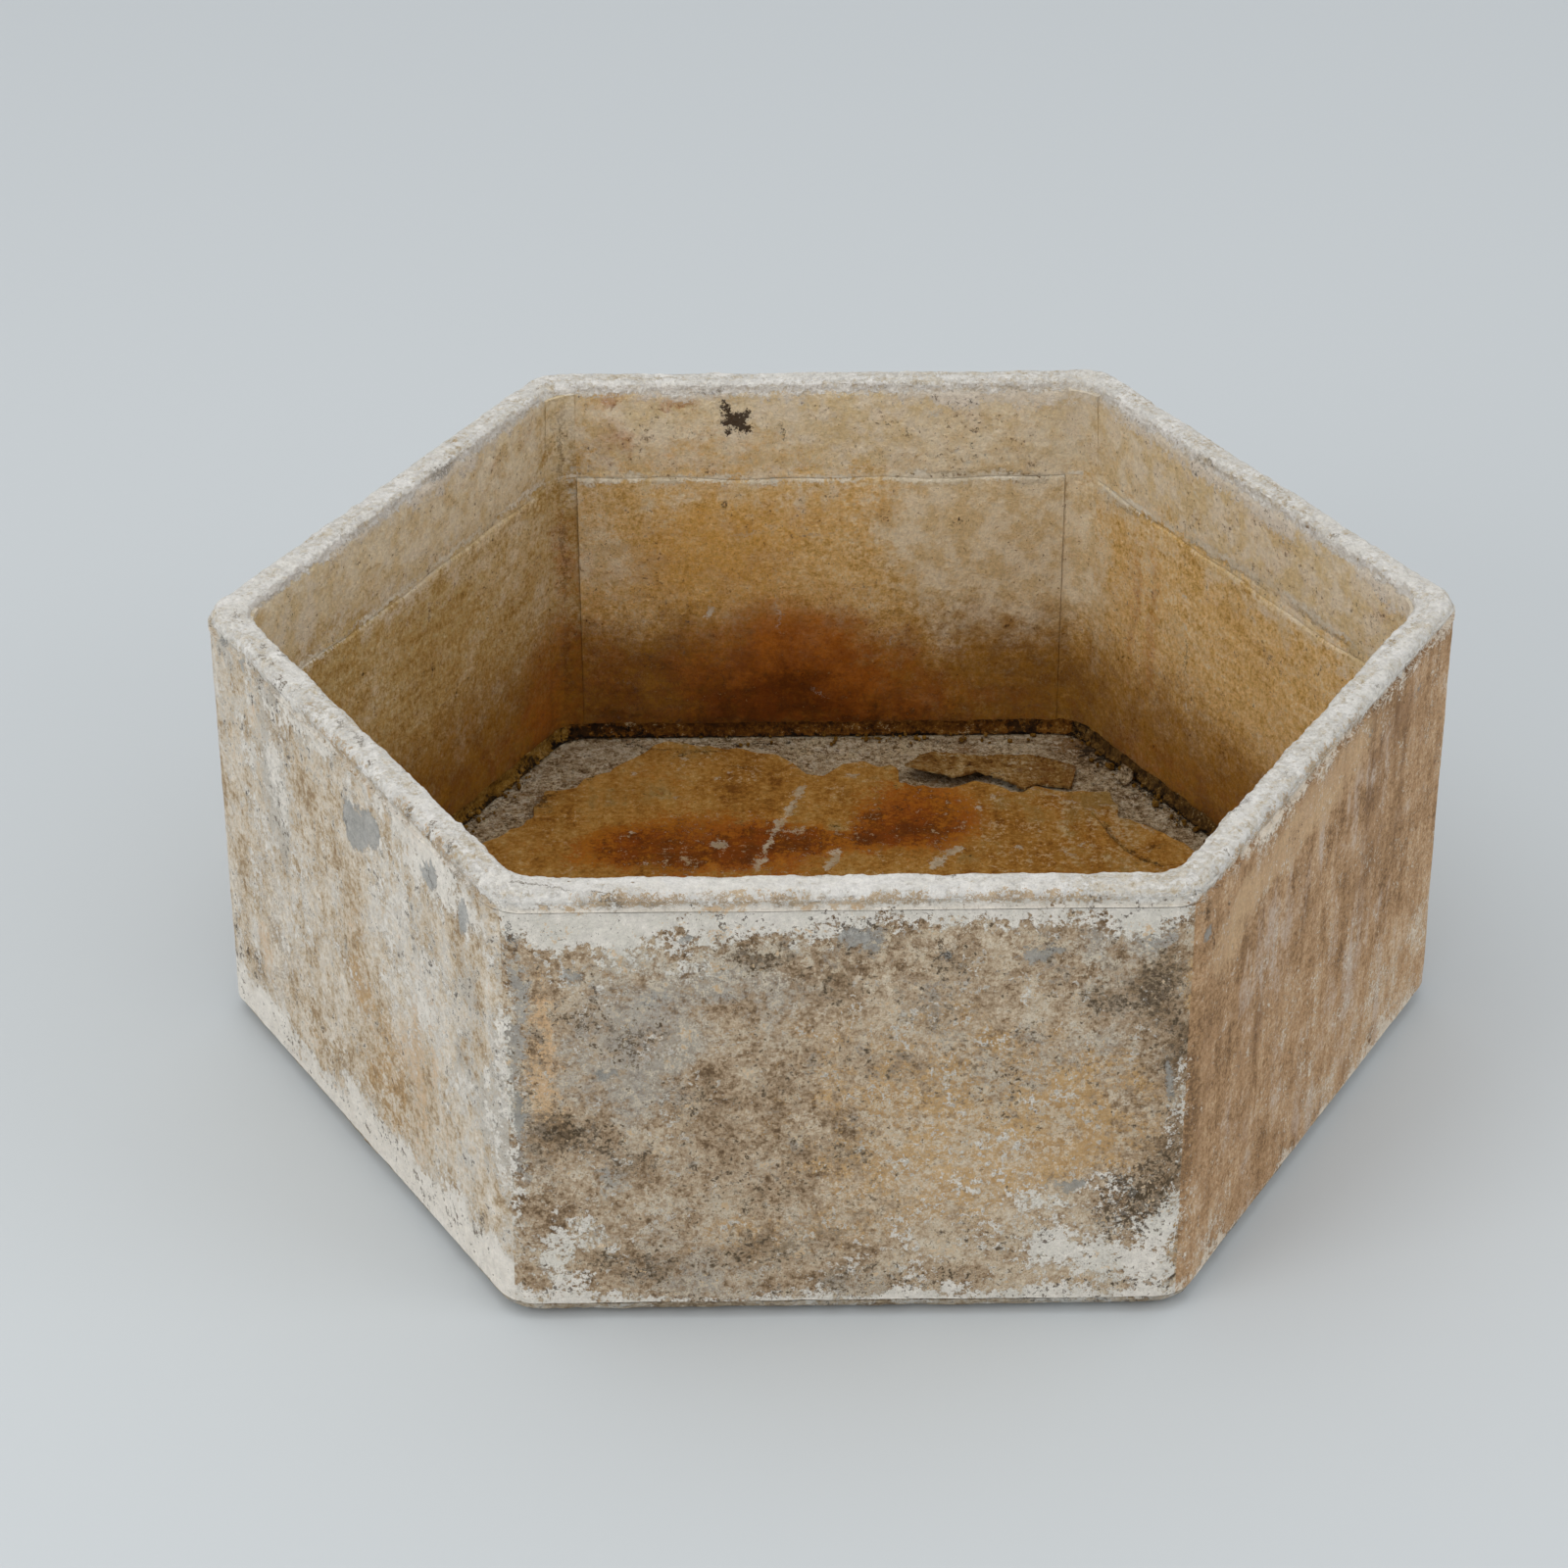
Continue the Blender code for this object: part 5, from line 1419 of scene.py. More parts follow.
@dataclass(frozen=True)
class HandWobble:
    """The slow unevenness of a hand-made body, the same for all its sheets."""

    bow: float = 0.0011  # how far the walls wander in and out
    rim_dip: float = 0.0009
    seam_drift: float = 0.0022
    seam_reach: float = 0.028  # how far above and below the seam that is felt
    bow_turn: float = 0.85  # share of a half wave that the bow makes from the foot to the rim
    # Waves round the planter in its bow, as their count and start
    bow_terms: tuple[tuple[int, float], ...] = ((5, 0.4), (9, 2.0), (14, 4.1), (23, 1.3))
    dip_terms: tuple[tuple[int, float], ...] = ((4, 1.0), (11, 0.2), (19, 3.0), (31, 5.0))
    drift_terms: tuple[tuple[int, float], ...] = ((6, 2.2), (13, 0.7), (29, 4.0))

    def apply(self, piece: Piece, sizes: PlanterSizes) -> None:
        """Move a piece's vertices by the unevenness."""
        points = points_of(piece)
        angles = np.arctan2(points[:, 1], points[:, 0])
        heights = points[:, 2]
        seam_pull = np.exp(-((heights - sizes.seam) / self.seam_reach) ** 2)
        points[:, 2] += self.seam_drift * waves(angles, self.drift_terms) * seam_pull
        rim_pull = np.clip((heights - sizes.seam) / (sizes.height - sizes.seam), 0, 1) ** 2
        points[:, 2] -= self.rim_dip * (0.5 + 0.5 * waves(angles, self.dip_terms)) * rim_pull
        rise = np.sin(np.clip(heights / sizes.height, 0, 1) * math.pi * self.bow_turn)
        shrink = 1 - self.bow * (0.5 + 0.5 * waves(angles, self.bow_terms)) * rise / sizes.half_width
        points[:, :2] *= shrink[:, None]
        move_points(piece, points)


def strip_marks(corner: int, sizes: PlanterSizes) -> InsideMarks:
    """What is particular to one corner strip, measured on the side after the corner.

    Args:
        corner: the strip's corner.
        sizes: the planter's sizes.

    Returns:
        The side's own marks without its small ones, and the strip's cracks and chips.
    """
    edge = sizes.strip_edge / MILLIMETRE
    reach = sizes.lining_head * math.tan(HALF_STEP) / MILLIMETRE
    other = reach + (reach - edge) * math.cos(STEP_ANGLE)
    own = replace(INSIDE_MARKS[Side(corner)], bead=(), crack=(), dark=(), pale=())
    if CORNER_NAMES[corner] == "back_right":
        return replace(own, pale=dots([(-edge, 262), (-edge, 250)], 2.5))
    if CORNER_NAMES[corner] == "back_left":
        cracks = line([(-reach, 30), (-reach - 2, 120), (-reach, 200), (-reach + 1, 290)], 2.0, 1.7)
        return replace(own, crack=cracks + line([(-edge, 130), (-edge - 2, 60), (-edge, 22)], 1.6, 1.5),
                       pale=dots([(-other, 232), (-other, 224), (-other, 216)], 3.5))
    return own


# Sub-assemblies

@dataclass
class SubAssembly:
    """Pieces of one kind, and what they need to be made and dressed."""

    sizes: PlanterSizes
    rings: RingMaker
    effects: Effects
    wobble: HandWobble

    def dress(self, piece: Piece, material: Material, slot: Slot, *nodes: str) -> None:
        """Finish a piece and put it in the place of its nodes.

        Args:
            piece: the piece.
            material: its finish.
            slot: not used.
            nodes: the nodes that it replaces.
        """
        piece.data.materials.clear()
        piece.data.materials.append(material)
        smooth_faces(piece)
        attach(piece, BODY)
        if nodes:
            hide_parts(*nodes)
        log.info("%s: %d faces", piece.name, len(piece.data.polygons))

    def cut_sides(self, ring: Piece, prefix: str, node: str, slot: Slot, planes: Callable[[int], Planes],
                  finish: Callable[[Side, str], Material]) -> list[Piece]:
        """Cut a ring into one sheet for each side, dress the sheets and remove the ring.

        Args:
            ring: the ring.
            prefix: start of the sheets' names.
            node: start of the names of the nodes that they replace.
            slot: the record's finish that they stand for.
            planes: the planes between which a side's sheet lies.
            finish: makes the material for a side and its name.

        Returns:
            The sheets.
        """
        sheets = []
        for side in Side:
            name = SIDE_NAMES[side.value]
            sheet = self.rings.cut_out(ring, prefix + name, planes(side.value))
            self.dress(sheet, finish(side, name), slot, node + name)
            sheets.append(sheet)
        drop(ring)
        return sheets


@dataclass
class WallSheets(SubAssembly):
    """The six outer wall sheets."""

    rows: int = 118
    # Outlines between the wall's foot and the end of the rounded edge
    foot_heights: tuple[float, float] = (0.0132, 0.0141)
    face_depth: float = 0.005  # how deep vertices may lie in the outer face to be roughened
    layers: tuple[Roughness, ...] = (
        Roughness(0.055, 0.0011, 0.1), Roughness(0.012, 0.0006, 0.15, 3), Roughness(0.004, 0.00035, 0.2, 2),
    )

    def build(self) -> None:
        """Sweep the wall, roughen its face and cut it at the mitres."""
        s = self.sizes
        rebate_foot = s.lip_foot - s.joint
        rebate = s.lip_inner - s.joint
        sections = [Section(s.outer_distance(z), z) for z in (s.wall_foot, *self.foot_heights)]
        sections += [Section(s.half_width, s.base_radius, 3), Section(s.half_width, rebate_foot, self.rows),
                     Section(rebate, rebate_foot, 2), Section(rebate, s.wall_top, 2),
                     Section(s.wall_inner, s.wall_top, 2), Section(s.wall_inner, s.wall_foot, 6)]
        ring = self.rings.sweep("wall_ring", sections)
        points = points_of(ring)
        outside = side_distances(points) > s.half_width - self.face_depth
        weigh(ring, "face", outside * (points[:, 2] < rebate_foot + s.joint))
        roughen(ring, "face", self.layers)
        self.wobble.apply(ring, s)
        self.cut_sides(ring, "wall_", "wall_sheet_", Slot.WALL, mitre_planes, self._finish)

    def _finish(self, side: Side, name: str) -> Material:
        """The weathered face of a side."""
        return WALL_FINISHES[side].material("weathered_" + name, self.effects, side.value)


@dataclass
class RimCollars(SubAssembly):
    """The six collars, folded over the top of the wall."""

    leg_rows: int = 40
    top_rows: int = 14
    corner_steps: int = 16
    side_cuts: tuple[int, int] = (13, 20)
    lip_proud: float = 0.0001
    powder_depth: float = 0.0085
    face_slack: float = 0.001  # how far from its outline a face counts as the leg or the lip
    seam_margin: float = 0.002  # height above the seam that stays plain
    leg_share: float = 0.25  # share of the rim's unevenness that the leg has at the seam
    worn_reach: tuple[float, float] = (0.006, 0.009)  # how far the worn inner edge reaches outwards and down
    worn_limit: float = 1.4  # where its wear ends, in that reach; it's full up to 1 less
    finish_step: float = 0.006  # how far beyond the leg's foot the limewash of the lip starts
    layers: tuple[Roughness, ...] = (
        Roughness(0.026, 0.0024, 0.05, 3), Roughness(0.008, 0.0016, 0.05, 3), Roughness(0.003, 0.0008, 0.1, 2),
    )
    edge_layers: tuple[Roughness, ...] = (Roughness(0.014, 0.0026, 0.1, 3), Roughness(0.005, 0.0012, 0.1, 2))

    def build(self) -> None:
        """Sweep the collar, make its rim uneven and cut it at the mitres."""
        s = self.sizes
        inner_start = s.height - s.rim_inner_radius
        face = s.collar_distance(inner_start)
        outer = s.half_width + self.lip_proud
        outer_flat = outer - s.rim_outer_radius
        sections = [Section(s.collar_foot, s.seam), Section(face, inner_start, self.leg_rows)]
        sections += quarter((face, inner_start), (face + s.rim_inner_radius, s.height), True, 6)
        sections += [Section(outer_flat, s.height, self.top_rows)]
        sections += quarter((outer_flat, s.height), (outer, s.height - s.rim_outer_radius), False, 8)
        sections += [Section(outer, s.lip_foot, 6), Section(s.lip_inner, s.lip_foot, 2),
                     Section(s.lip_inner, s.collar_under), Section(s.liner_back, s.collar_under),
                     Section(s.liner_back, s.seam, 3)]
        rings = replace(self.rings, corner_steps=self.corner_steps, side_cuts=self.side_cuts)
        ring = rings.sweep("collar_ring", sections)
        points = points_of(ring)
        distances, heights = side_distances(points), points[:, 2]
        outside = (distances > s.lip_inner + self.face_slack) | (heights > s.wall_top)
        rim = (heights > s.lip_foot + s.joint) & outside
        leg = (distances < s.collar_foot + self.face_slack) & (heights > s.seam + self.seam_margin)
        fade = np.clip((heights - s.seam) / (s.height - s.seam), 0, 1) ** 3
        weigh(ring, "rim", np.where(rim, 1.0, np.where(leg, self.leg_share + (1 - self.leg_share) * fade, 0.0)))
        away = np.hypot((distances - s.rim_inner) / self.worn_reach[0], (heights - s.height) / self.worn_reach[1])
        weigh(ring, "inner_edge", np.where(rim | leg, np.clip(self.worn_limit - away, 0, 1), 0))
        roughen(ring, "inner_edge", self.edge_layers)
        roughen(ring, "rim", self.layers)
        self.wobble.apply(ring, s)
        self.cut_sides(ring, "rim_", "rim_collar_", Slot.RIM, mitre_planes, self._finish)

    def _finish(self, side: Side, name: str) -> Material:
        """The chalky rim of a side, with its stained leg."""
        s = self.sizes
        edges = (s.height - self.powder_depth, s.collar_foot + self.finish_step, s.seam, s.lip_foot)
        return RimFinish(side, *(edge / MILLIMETRE for edge in edges)).material("chalky_" + name, self.effects)


@dataclass
class InnerLinings(SubAssembly):
    """The six lining sheets below the seam, and the six strips in the inner corners."""

    rows: int = 80
    top_rows: int = 26
    face_slack: float = 0.0015  # how far from the lining's foot a vertex counts as its inner face
    layers: tuple[Roughness, ...] = (
        Roughness(0.09, 0.0016, 0.5), Roughness(0.016, 0.0006, 0.5, 3), Roughness(0.004, 0.0002, 0.5, 2),
    )

    def build(self) -> None:
        """Sweep the lining and the corner fillet, and cut the sheets and strips from them."""
        s = self.sizes
        nose_foot = s.lining_top - s.nose_radius
        sections = [Section(s.lining_foot, s.ply_low), Section(s.lining_head, nose_foot, self.rows)]
        sections += quarter((s.lining_head, nose_foot), (s.lining_head + s.nose_radius, s.lining_top), True, 5)
        sections += [Section(s.liner_back, s.lining_top, 2), Section(s.liner_back, s.ply_low, 3)]
        ring = self.rings.sweep("lining_ring", sections)
        self._uneven(ring)
        self.cut_sides(ring, "lining_", "lining_sheet_", Slot.LINING, lambda side: strip_planes(side, s.strip_edge),
                       self._finish)
        self._build_strips()

    def _finish(self, side: Side, name: str) -> Material:
        """The stained lining of a side, with painted shade along its foot."""
        return INSIDE_MARKS[side].finish().material("ochre_" + name, self.effects, side.value)

    def _uneven(self, ring: Piece) -> None:
        """Roughen the inner face of a ring."""
        points = points_of(ring)
        weigh(ring, "face", side_distances(points) < self.sizes.lining_foot + self.face_slack)
        roughen(ring, "face", self.layers)
        self.wobble.apply(ring, self.sizes)

    def _build_strips(self) -> None:
        """Sweep the fillet of the inner corners and cut a strip for each."""
        s = self.sizes
        top = s.wall_top
        sections = [Section(s.lining_foot, s.ply_low), Section(s.collar_foot, s.seam, self.rows),
                    Section(s.collar_distance(top), top, self.top_rows), Section(s.liner_back, top, 2),
                    Section(s.liner_back, s.ply_low, 3)]
        ring = self.rings.sweep("strip_ring", sections)
        self._uneven(ring)
        for corner, name in enumerate(CORNER_NAMES):
            strip = self.rings.cut_out(ring, "strip_" + name, corner_planes(corner, s.strip_edge + s.joint))
            material = strip_marks(corner, s).finish().material("corner_" + name, self.effects, corner)
            self.dress(strip, material, Slot.STRIP, "corner_strip_" + name)
        drop(ring)


@dataclass
class FloorCoves(SubAssembly):
    """The six crumbling fillets at the foot of the walls, and loose crumbs of them."""

    lean: float = 0.04  # how far the back leans in over its height, as a share of the lining's own lean
    foot_margin: float = 0.0004  # height above the toe that stays plain
    layers: tuple[Roughness, ...] = (
        Roughness(0.018, 0.0045, 0.45, 3), Roughness(0.005, 0.0026, 0.5, 3), Roughness(0.0022, 0.0008, 0.5, 2),
    )
    crumb_count: int = 260
    crumb_radius: float = 0.0011
    crumb_spread: float = 0.006
    # Sides to choose from, the fuller ones named more often
    crumb_sides: tuple[int, ...] = (1, 2, 2, 2, 3, 3, 4, 4, 5, 0)
    # Where most lie along the back right side and along the others, from -1 to 1
    crumb_places: tuple[float, float] = (0.8, -0.5)
    crumb_sizes: tuple[float, float] = (0.4, 1.9)  # the smallest and the largest, as a share of the middling one
    crumb_squash: tuple[float, float] = (0.6, 1.4)
    crumb_rest: float = 0.7  # height of its middle, as a share of its radius
    crumb_layers: tuple[Roughness, ...] = (Roughness(0.0012, 0.0012, 0.5, 1),)
    seed: int = 11

    def build(self) -> None:
        """Sweep the cove, crumble it and cut it at the mitres."""
        s = self.sizes
        face = s.lining_foot - s.joint
        top_face = face - (s.lining_foot - s.lining_head) * self.lean
        toe = top_face - s.cove_width
        sections = [Section(face, s.ply_low), Section(top_face, s.cove_top),
                    Section(top_face - s.cove_edge, s.cove_top)]
        sections += quarter((top_face - s.cove_edge, s.cove_top), (toe, s.ply_low + s.cove_edge), True, 8)
        sections += [Section(toe, s.ply_low)]
        ring = self.rings.sweep("cove_ring", sections)
        points = points_of(ring)
        shown = (side_distances(points) < top_face + LEVEL_SLACK) & (points[:, 2] > s.ply_low + self.foot_margin)
        weigh(ring, "crumble", shown * 1.0)
        roughen(ring, "crumble", self.layers)
        self.wobble.apply(ring, s)
        coves = self.cut_sides(ring, "cove_", "floor_cove_", Slot.COVE, mitre_planes, self._finish)
        self._build_crumbs(coves[-1].data.materials[0], toe)

    def _finish(self, side: Side, name: str) -> Material:
        """The dirty cement of a side's cove."""
        finish = replace(COVE_FINISH, ground=DIRTY_COVES.get(side, COVE_FINISH.ground))
        return finish.material("dirty_cove_" + name, self.effects, side.value)

    def _build_crumbs(self, material: Material, toe: float) -> None:
        """Scatter loose crumbs in front of the coves, most of them at the back right.

        Args:
            material: their finish.
            toe: distance of the coves' toe from the middle.
        """
        chance = random.Random(self.seed)
        bpy.ops.object.select_all(action="DESELECT")
        bpy.ops.mesh.primitive_ico_sphere_add(subdivisions=1, radius=1)
        first = bpy.context.object
        half_side = toe * math.tan(HALF_STEP)
        crumbs = []
        for _ in range(self.crumb_count):
            side = chance.choice(self.crumb_sides)
            usual = self.crumb_places[side != Side.BACK_RIGHT.value]
            along = chance.triangular(-1, 1, usual) * half_side
            distance = toe - abs(chance.gauss(0, self.crumb_spread))
            facing, sideways = direction(side_angle(side)), direction(side_angle(side) + math.pi / 2)
            radius = self.crumb_radius * chance.uniform(*self.crumb_sizes)
            squash = Vector([chance.uniform(*self.crumb_squash) for _ in range(3)]) * radius
            height = self.sizes.backing_top + squash.z * self.crumb_rest
            place = facing * distance + sideways * along + Vector((0, 0, height))
            turn = Matrix.Rotation(chance.uniform(0, math.tau), 4, "Z")
            crumb = add_object("crumb", first.data.copy())
            crumb.data.transform(Matrix.Translation(place) @ turn @ Matrix.Diagonal((*squash, 1)))
            crumbs.append(crumb)
        drop(first)
        activate(crumbs[0])
        for crumb in crumbs:
            crumb.select_set(True)
        bpy.ops.object.join()
        pile = bpy.context.object
        pile.name = "loose_crumbs"
        roughen(pile, "", self.crumb_layers)
        self.dress(pile, material, Slot.COVE)


@dataclass
class BaseAndFloor(SubAssembly):
    """The base sheet, the backing ply and the torn upper ply with its flap and chip."""

    torn_reach: float = 0.10  # how far in from the edge the plies have fine faces
    band_rows: int = 44
    middle_rows: int = 10
    hole_keep: float = 0.02  # what is nearer to the middle than this belongs to the drain hole
    ply_gap: float = 0.0012  # between the upper ply and the coves, before it is torn
    # What stays plain at the bottom and the inner end of the base's edge
    edge_margin: tuple[float, float] = (0.0004, 0.001)
    fray: tuple[tuple[float, float, float], ...] = (  # size, depth and start of each wave of the torn edge
        (0.080, 0.0050, 0.0), (0.026, 0.0045, 5.0), (0.0095, 0.0026, 9.0),
    )
    # How far each wave is shifted to and fro, and how often, as a share of its own count
    fray_drift: tuple[float, float] = (2.2, 0.37)
    crack_width: float = 0.0016
    crack_taper: tuple[float, float] = (0.3, 0.9)  # the crack's radius at its tips, and what its middle has more
    crack_deepening: float = 3.4
    # The crack's places, in shares of the lining's distance at the floor
    crack_shares: tuple[tuple[float, float], ...] = (
        (0.580, 0.620), (0.604, 0.552), (0.622, 0.497), (0.645, 0.457), (0.672, 0.421), (0.712, 0.402),
        (0.760, 0.400),
    )
    flap_grain: float = 0.0009
    chip_grain: float = 0.0005
    base_layers: tuple[Roughness, ...] = (Roughness(0.03, 0.0016, 0.0, 3), Roughness(0.006, 0.0012, 0.0, 3))
    backing_layers: tuple[Roughness, ...] = (Roughness(0.02, 0.0016, 0.1, 3), Roughness(0.0045, 0.0010, 0.2, 3))
    ply_layers: tuple[Roughness, ...] = (Roughness(0.12, 0.0016, 0.3), Roughness(0.02, 0.0009, 0.2, 3))
    flap_layers: tuple[Roughness, ...] = (
        Roughness(0.018, 0.0036, 0.3, 3), Roughness(0.007, 0.0022, 0.4, 3), Roughness(0.003, 0.0010, 0.4, 2),
    )
    chip_layers: tuple[Roughness, ...] = (Roughness(0.004, 0.0010, 0.4, 3), Roughness(0.0015, 0.0003, 0.4, 2))

    def build(self) -> None:
        """Make the flat sheets from the bottom up."""
        self._build_base()
        self._build_backing()
        self._build_ply()
        self._build_flap()
        self._build_chip()

    def _plate(self, name: str, sections: Sequence[Section]) -> Piece:
        """A plate with a round hole in its middle."""
        plate = self.rings.sweep(name, sections)
        with editing(plate) as bm:
            bpy.ops.mesh.select_all(action="DESELECT")
            for vert in bm.verts:
                vert.select = vert.co.xy.length < self.hole_keep
            bmesh.update_edit_mesh(plate.data)
            bpy.ops.transform.tosphere(value=1.0, center_override=(0, 0, 0))
        points = points_of(plate)
        reach = np.hypot(points[:, 0], points[:, 1])
        near = reach < self.hole_keep
        points[near, :2] *= (self.sizes.drain_radius / np.maximum(reach[near], SAME_PLACE))[:, None]
        heights = [section.height for section in sections]
        points[near, 2] = np.where(points[near, 2] > np.mean(heights[:2]), max(heights), min(heights))
        move_points(plate, points)
        return plate

    def _build_base(self) -> None:
        """The base sheet, with its rounded and scuffed edge."""
        s = self.sizes
        start = s.half_width - s.base_radius
        steps = 6
        heights = [s.base_top * step / steps for step in range(1, steps + 1)]
        sections = [Section(start, 0), *(Section(s.outer_distance(height), height, 2) for height in heights),
                    Section(s.drain_radius, s.base_top, 6), Section(s.drain_radius, 0)]
        plate = self._plate("base", sections)
        points = points_of(plate)
        low_margin, inner_margin = self.edge_margin
        edge = (side_distances(points) > start + inner_margin) & (points[:, 2] > low_margin)
        weigh(plate, "edge", edge * 1.0)
        roughen(plate, "edge", self.base_layers)
        self.wobble.apply(plate, s)
        self.dress(plate, BASE_FINISH.material("scuffed_base", self.effects), Slot.BASE, "base_sheet")

    def _build_backing(self) -> None:
        """The pebbly ply that shows where the upper ply has gone."""
        s = self.sizes
        inner = s.liner_back - self.torn_reach
        sections = [Section(s.liner_back, s.backing_low), Section(s.liner_back, s.backing_top),
                    Section(inner, s.backing_top, self.band_rows),
                    Section(s.drain_radius, s.backing_top, self.middle_rows),
                    Section(s.drain_radius, s.backing_low)]
        plate = self._plate("floor_backing", sections)
        points = points_of(plate)
        weigh(plate, "top", (points[:, 2] > s.backing_top - LEVEL_SLACK) & (side_distances(points) > self.hole_keep))
        roughen(plate, "top", self.backing_layers)
        self.dress(plate, BACKING_FINISH.material("pebbly_cement", self.effects), Slot.BACKING, "floor_backing_ply")

    def _torn_outline(self, angles: np.ndarray) -> np.ndarray:
        """How far out the ply reaches in each direction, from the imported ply's own edge.

        Args:
            angles: directions from the middle.

        Returns:
            One distance for each direction.
        """
        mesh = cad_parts["floor_ply"].data
        segments = []
        for face in mesh.polygons:
            ends = [mesh.vertices[i].co for i in face.vertices]
            high = [co for co in ends if co.z > self.sizes.ply_top - LEVEL_SLACK]
            upright = abs(face.normal.z) < 0.5
            if upright and len(high) == 2:
                segments.append((high[0].xy.copy(), high[1].xy.copy()))
        starts = np.array([a for a, b in segments])
        runs = np.array([b - a for a, b in segments])
        reach = np.zeros(len(angles))
        parallel = 1e-12
        for index, angle in enumerate(angles):
            ray = np.array((math.cos(angle), math.sin(angle)))
            across = runs[:, 0] * ray[1] - runs[:, 1] * ray[0]
            safe = np.where(np.abs(across) < parallel, parallel, across)
            share = (starts[:, 1] * ray[0] - starts[:, 0] * ray[1]) / safe
            out = starts @ ray + share * (runs @ ray)
            hit = (share > -SAME_PLACE) & (share < 1 + SAME_PLACE) & (out > self.hole_keep)
            reach[index] = out[hit].max() if hit.any() else 0
        return reach

    def _build_ply(self) -> None:
        """The upper ply, with its torn and frayed edge and its crack."""
        s = self.sizes
        edge = s.lining_foot - s.cove_width - self.ply_gap
        inner = edge - self.torn_reach
        sections = [Section(edge, s.ply_low), Section(edge, s.ply_top, 3),
                    Section(inner, s.ply_top, self.band_rows),
                    Section(s.drain_radius, s.ply_top, self.middle_rows),
                    Section(s.drain_radius, s.ply_low), Section(inner, s.ply_low, 3)]
        plate = self._plate("floor_top_ply", sections)
        points = points_of(plate)
        angles = np.arctan2(points[:, 1], points[:, 0])
        reach = np.hypot(points[:, 0], points[:, 1])
        keys, where = np.unique(np.round(angles, 5), return_inverse=True)
        torn = self._torn_outline(keys)
        for size, depth, start in self.fray:
            rounds = torn.mean() / size
            drift, rate = self.fray_drift
            torn -= depth * np.abs(np.sin(rounds * keys + drift * np.sin(rounds * keys * rate + start)))
        share = np.clip(side_distances(points) / edge, 0, 1)
        new_reach = np.where(reach > self.hole_keep, share * torn[where], reach)
        points[:, :2] *= (new_reach / np.maximum(reach, SAME_PLACE))[:, None]
        move_points(plate, points)
        weigh(plate, "top", (points[:, 2] > s.ply_top - LEVEL_SLACK) & (reach > self.hole_keep))
        roughen(plate, "top", self.ply_layers)
        self._cut_crack(plate)
        self.dress(plate, PLY_FINISH.material("rusty_ply", self.effects), Slot.PLY, "floor_ply")

    def _cut_crack(self, plate: Piece) -> None:
        """Cut the curved crack near the right side through the ply."""
        s = self.sizes
        curve = bpy.data.curves.new("crack", "CURVE")
        curve.dimensions = "3D"
        curve.bevel_depth = self.crack_width / 2
        curve.bevel_resolution = 1
        curve.use_fill_caps = True
        spline = curve.splines.new("NURBS")
        tip, swell = self.crack_taper
        count = len(self.crack_shares)
        spline.points.add(count - 1)
        for number, (point, (x, y)) in enumerate(zip(spline.points, self.crack_shares)):
            point.co = (x * s.lining_foot, y * s.lining_foot, s.ply_top, 1)
            point.radius = tip + swell * math.sin(math.pi * (number + 0.5) / count)
        spline.use_endpoint_u = True
        cutter = add_object("crack_cutter", curve)
        activate(cutter)
        bpy.ops.object.convert(target="MESH")
        with editing(cutter):
            bpy.ops.mesh.remove_doubles(threshold=SAME_PLACE)
            bpy.ops.transform.resize(value=(1, 1, self.crack_deepening), center_override=(0, 0, s.ply_top))
        activate(plate)
        modifier = plate.modifiers.new("crack", "BOOLEAN")
        modifier.operation = "DIFFERENCE"
        modifier.object = cutter
        bpy.ops.object.modifier_apply(modifier="crack")
        drop(cutter)

    def _solid_copy(self, node: str, name: str, grain: float) -> Piece:
        """A fine-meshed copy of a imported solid.

        Args:
            node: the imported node.
            name: name of the copy.
            grain: size of its new faces.

        Returns:
            The copy.
        """
        piece = add_object(name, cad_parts[node].data.copy())
        with editing(piece):
            bpy.ops.mesh.remove_doubles(threshold=SAME_PLACE)
        activate(piece)
        modifier = piece.modifiers.new("remesh", "REMESH")
        modifier.mode = "VOXEL"
        modifier.voxel_size = grain
        bpy.ops.object.modifier_apply(modifier="remesh")
        return piece

    def _build_flap(self) -> None:
        """The lifted flap, frayed along its torn edges."""
        flap = self._solid_copy("floor_ply_flap", "torn_flap", self.flap_grain)
        roughen(flap, "", self.flap_layers)
        self.dress(flap, FLAP_FINISH.material("flap_ply", self.effects), Slot.PLY, "floor_ply_flap")

    def _build_chip(self) -> None:
        """The small curled chip beside the right wall."""
        chip = self._solid_copy("floor_ply_chip", "curled_chip", self.chip_grain)
        roughen(chip, "", self.chip_layers)
        self.dress(chip, BACKING_FINISH.material("chip_cement", self.effects), Slot.BACKING, "floor_ply_chip")


# Studio

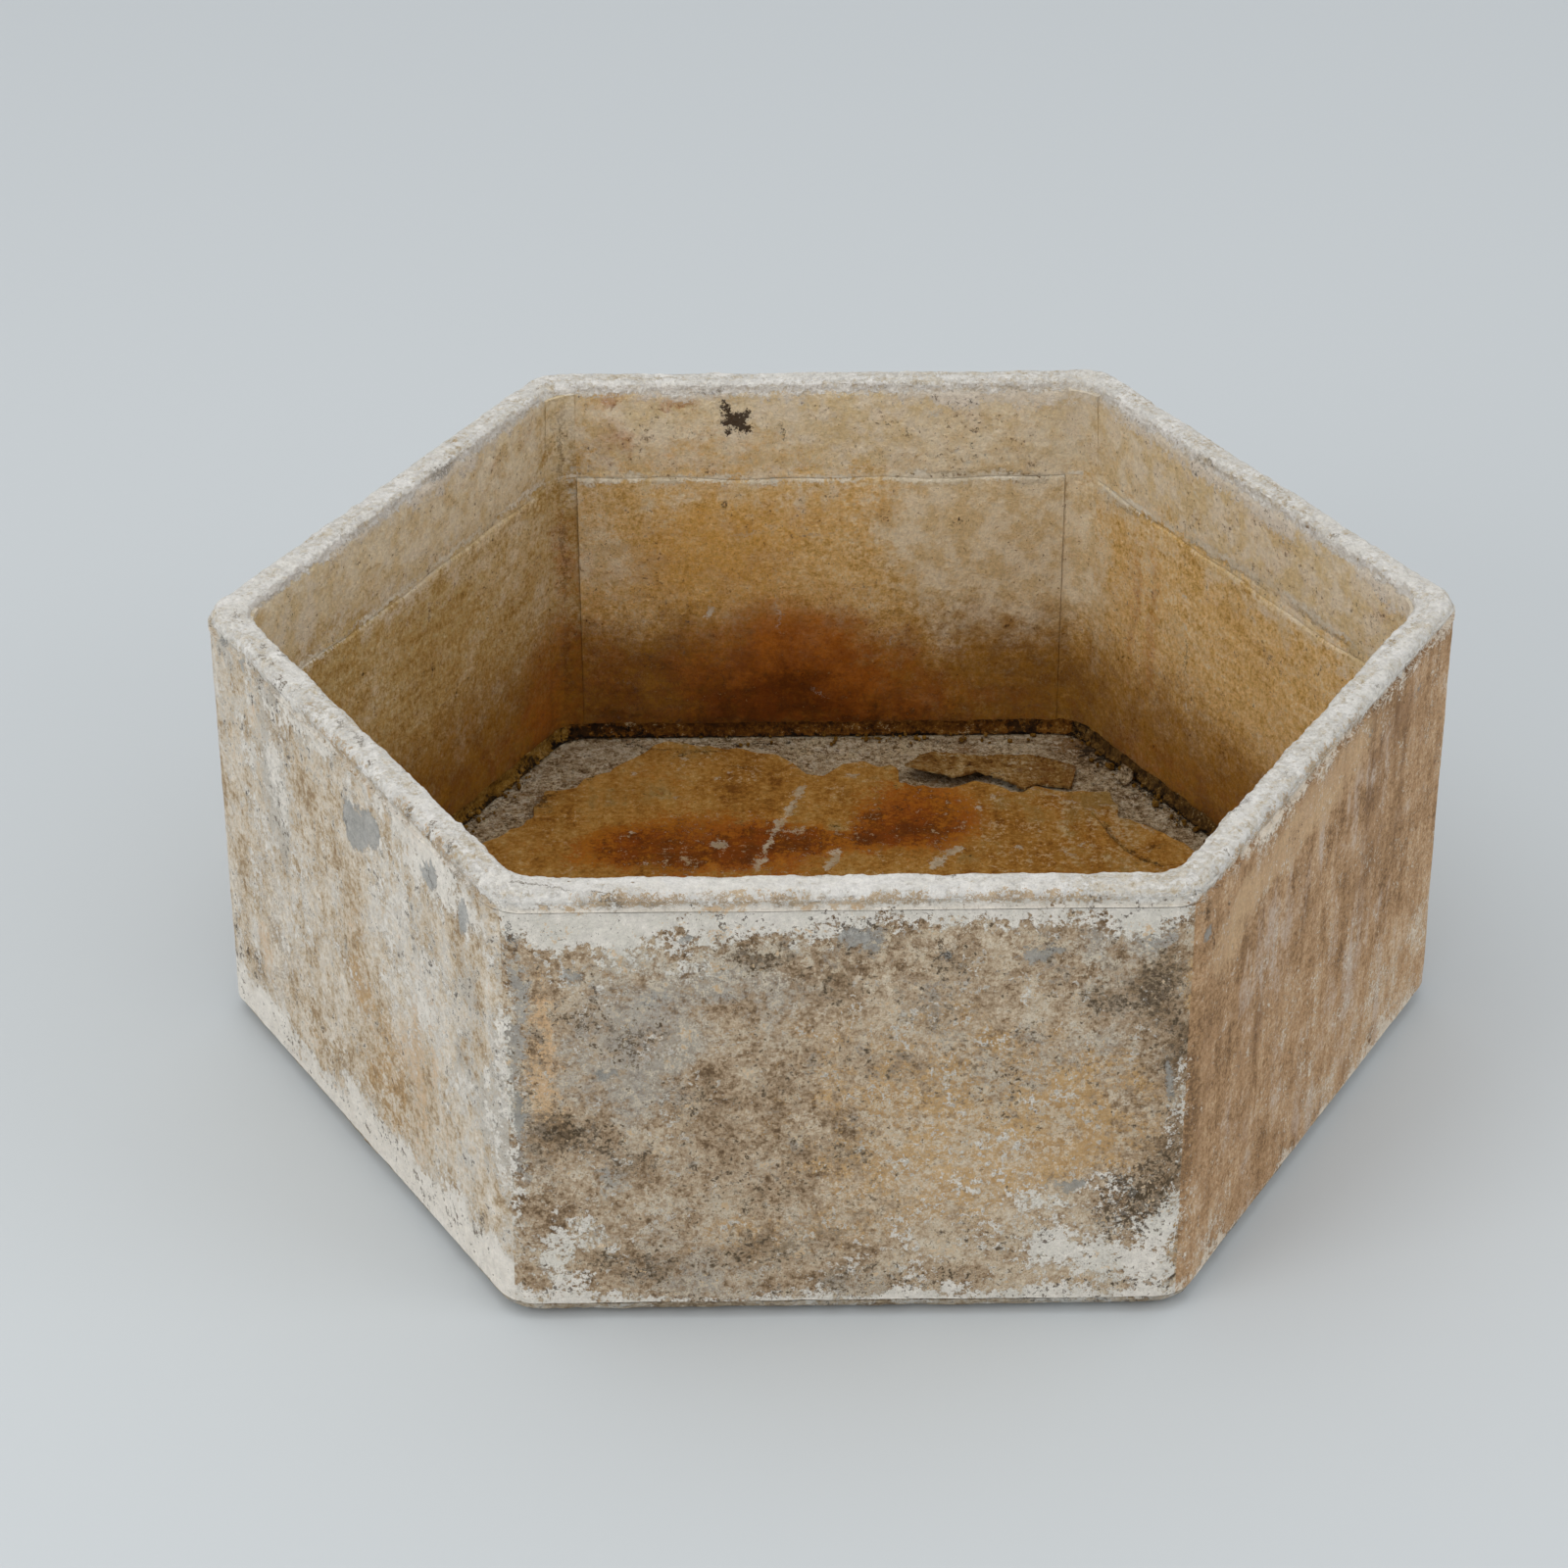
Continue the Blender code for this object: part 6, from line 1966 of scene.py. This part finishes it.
@dataclass(frozen=True)
class Studio:
    """Floor, camera and soft light."""

    camera_place: tuple[float, float, float] = (-0.0635, -2.3775, 1.5774)
    camera_right: tuple[float, float, float] = (0.9999, -0.0151, -0.0026)
    camera_up: tuple[float, float, float] = (0.0099, 0.5102, 0.8600)
    lens_mm: float = 97.83
    floor_half: float = 30.0
    floor_colour: str = "C3C8CB"
    floor_rough: float = 0.8
    sky_colour: str = "F4F6F8"
    sky_strength: float = 0.88
    # Each square lamp's name, place, width, watts and colour; all look at the planter
    lamps: tuple[tuple[str, tuple[float, float, float], float, float, str], ...] = (
        ("overhead", (-0.6, -0.6, 3.4), 2.4, 20, "FFFDF8"), ("left_front", (-3.2, -2.6, 2.0), 2.2, 50, "FFFDFA"),
        ("right_fill", (3.2, -1.5, 2.0), 2.2, 22, "FFFDFA"),
    )

    def build(self) -> None:
        """Put everything in place."""
        self._build_floor()
        self._build_camera()
        self._build_light()

    def _build_floor(self) -> None:
        """A plain pale floor."""
        bpy.ops.object.select_all(action="DESELECT")
        bpy.ops.mesh.primitive_plane_add(size=2 * self.floor_half, location=(0, 0, 0))
        floor = bpy.context.object
        floor.name = "studio_floor"
        material = bpy.data.materials.new("plain_floor")
        material.use_nodes = True
        shader = material.node_tree.nodes["Principled BSDF"]
        shader.inputs["Base Color"].default_value = colour(self.floor_colour)
        shader.inputs["Roughness"].default_value = self.floor_rough
        floor.data.materials.append(material)

    def _build_camera(self) -> None:
        """The camera at the photograph's place."""
        lens = bpy.data.cameras.new("camera")
        lens.lens = self.lens_mm
        lens.clip_end = 100
        camera = add_object("camera", lens)
        right, up = Vector(self.camera_right).normalized(), Vector(self.camera_up).normalized()
        back = right.cross(up).normalized()
        axes = Matrix((right, back.cross(right), back)).transposed().to_4x4()
        camera.matrix_world = Matrix.Translation(self.camera_place) @ axes
        bpy.context.scene.camera = camera

    def _build_light(self) -> None:
        """Sky all round, and soft lamps above."""
        world = bpy.data.worlds.new("soft_sky")
        world.use_nodes = True
        background = world.node_tree.nodes["Background"]
        background.inputs["Color"].default_value = colour(self.sky_colour)
        background.inputs["Strength"].default_value = self.sky_strength
        bpy.context.scene.world = world
        for name, place, width, watts, tint in self.lamps:
            light = bpy.data.lights.new(name, "AREA")
            light.size = width
            light.energy = watts
            light.color = colour(tint)[:3]
            lamp = add_object(name, light)
            lamp.location = place
            lamp.rotation_euler = Vector(place).to_track_quat("Z", "Y").to_euler()
        bpy.context.scene.view_settings.view_transform = "Standard"


def main() -> None:
    """Build the planter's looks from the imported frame."""
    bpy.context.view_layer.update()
    bpy.ops.object.select_all(action="DESELECT")
    sizes = PlanterSizes.of_frame()
    rings = RingMaker(corner_radius=sizes.corner_radius)
    effects = Effects()
    wobble = HandWobble()
    for kind in (BaseAndFloor, InnerLinings, FloorCoves, WallSheets, RimCollars):
        log.info("building %s", kind.__name__)
        kind(sizes, rings, effects, wobble).build()
    Studio().build()


if __name__ == "__main__":
    logging.basicConfig(level=logging.INFO, format="%(message)s")
    main()
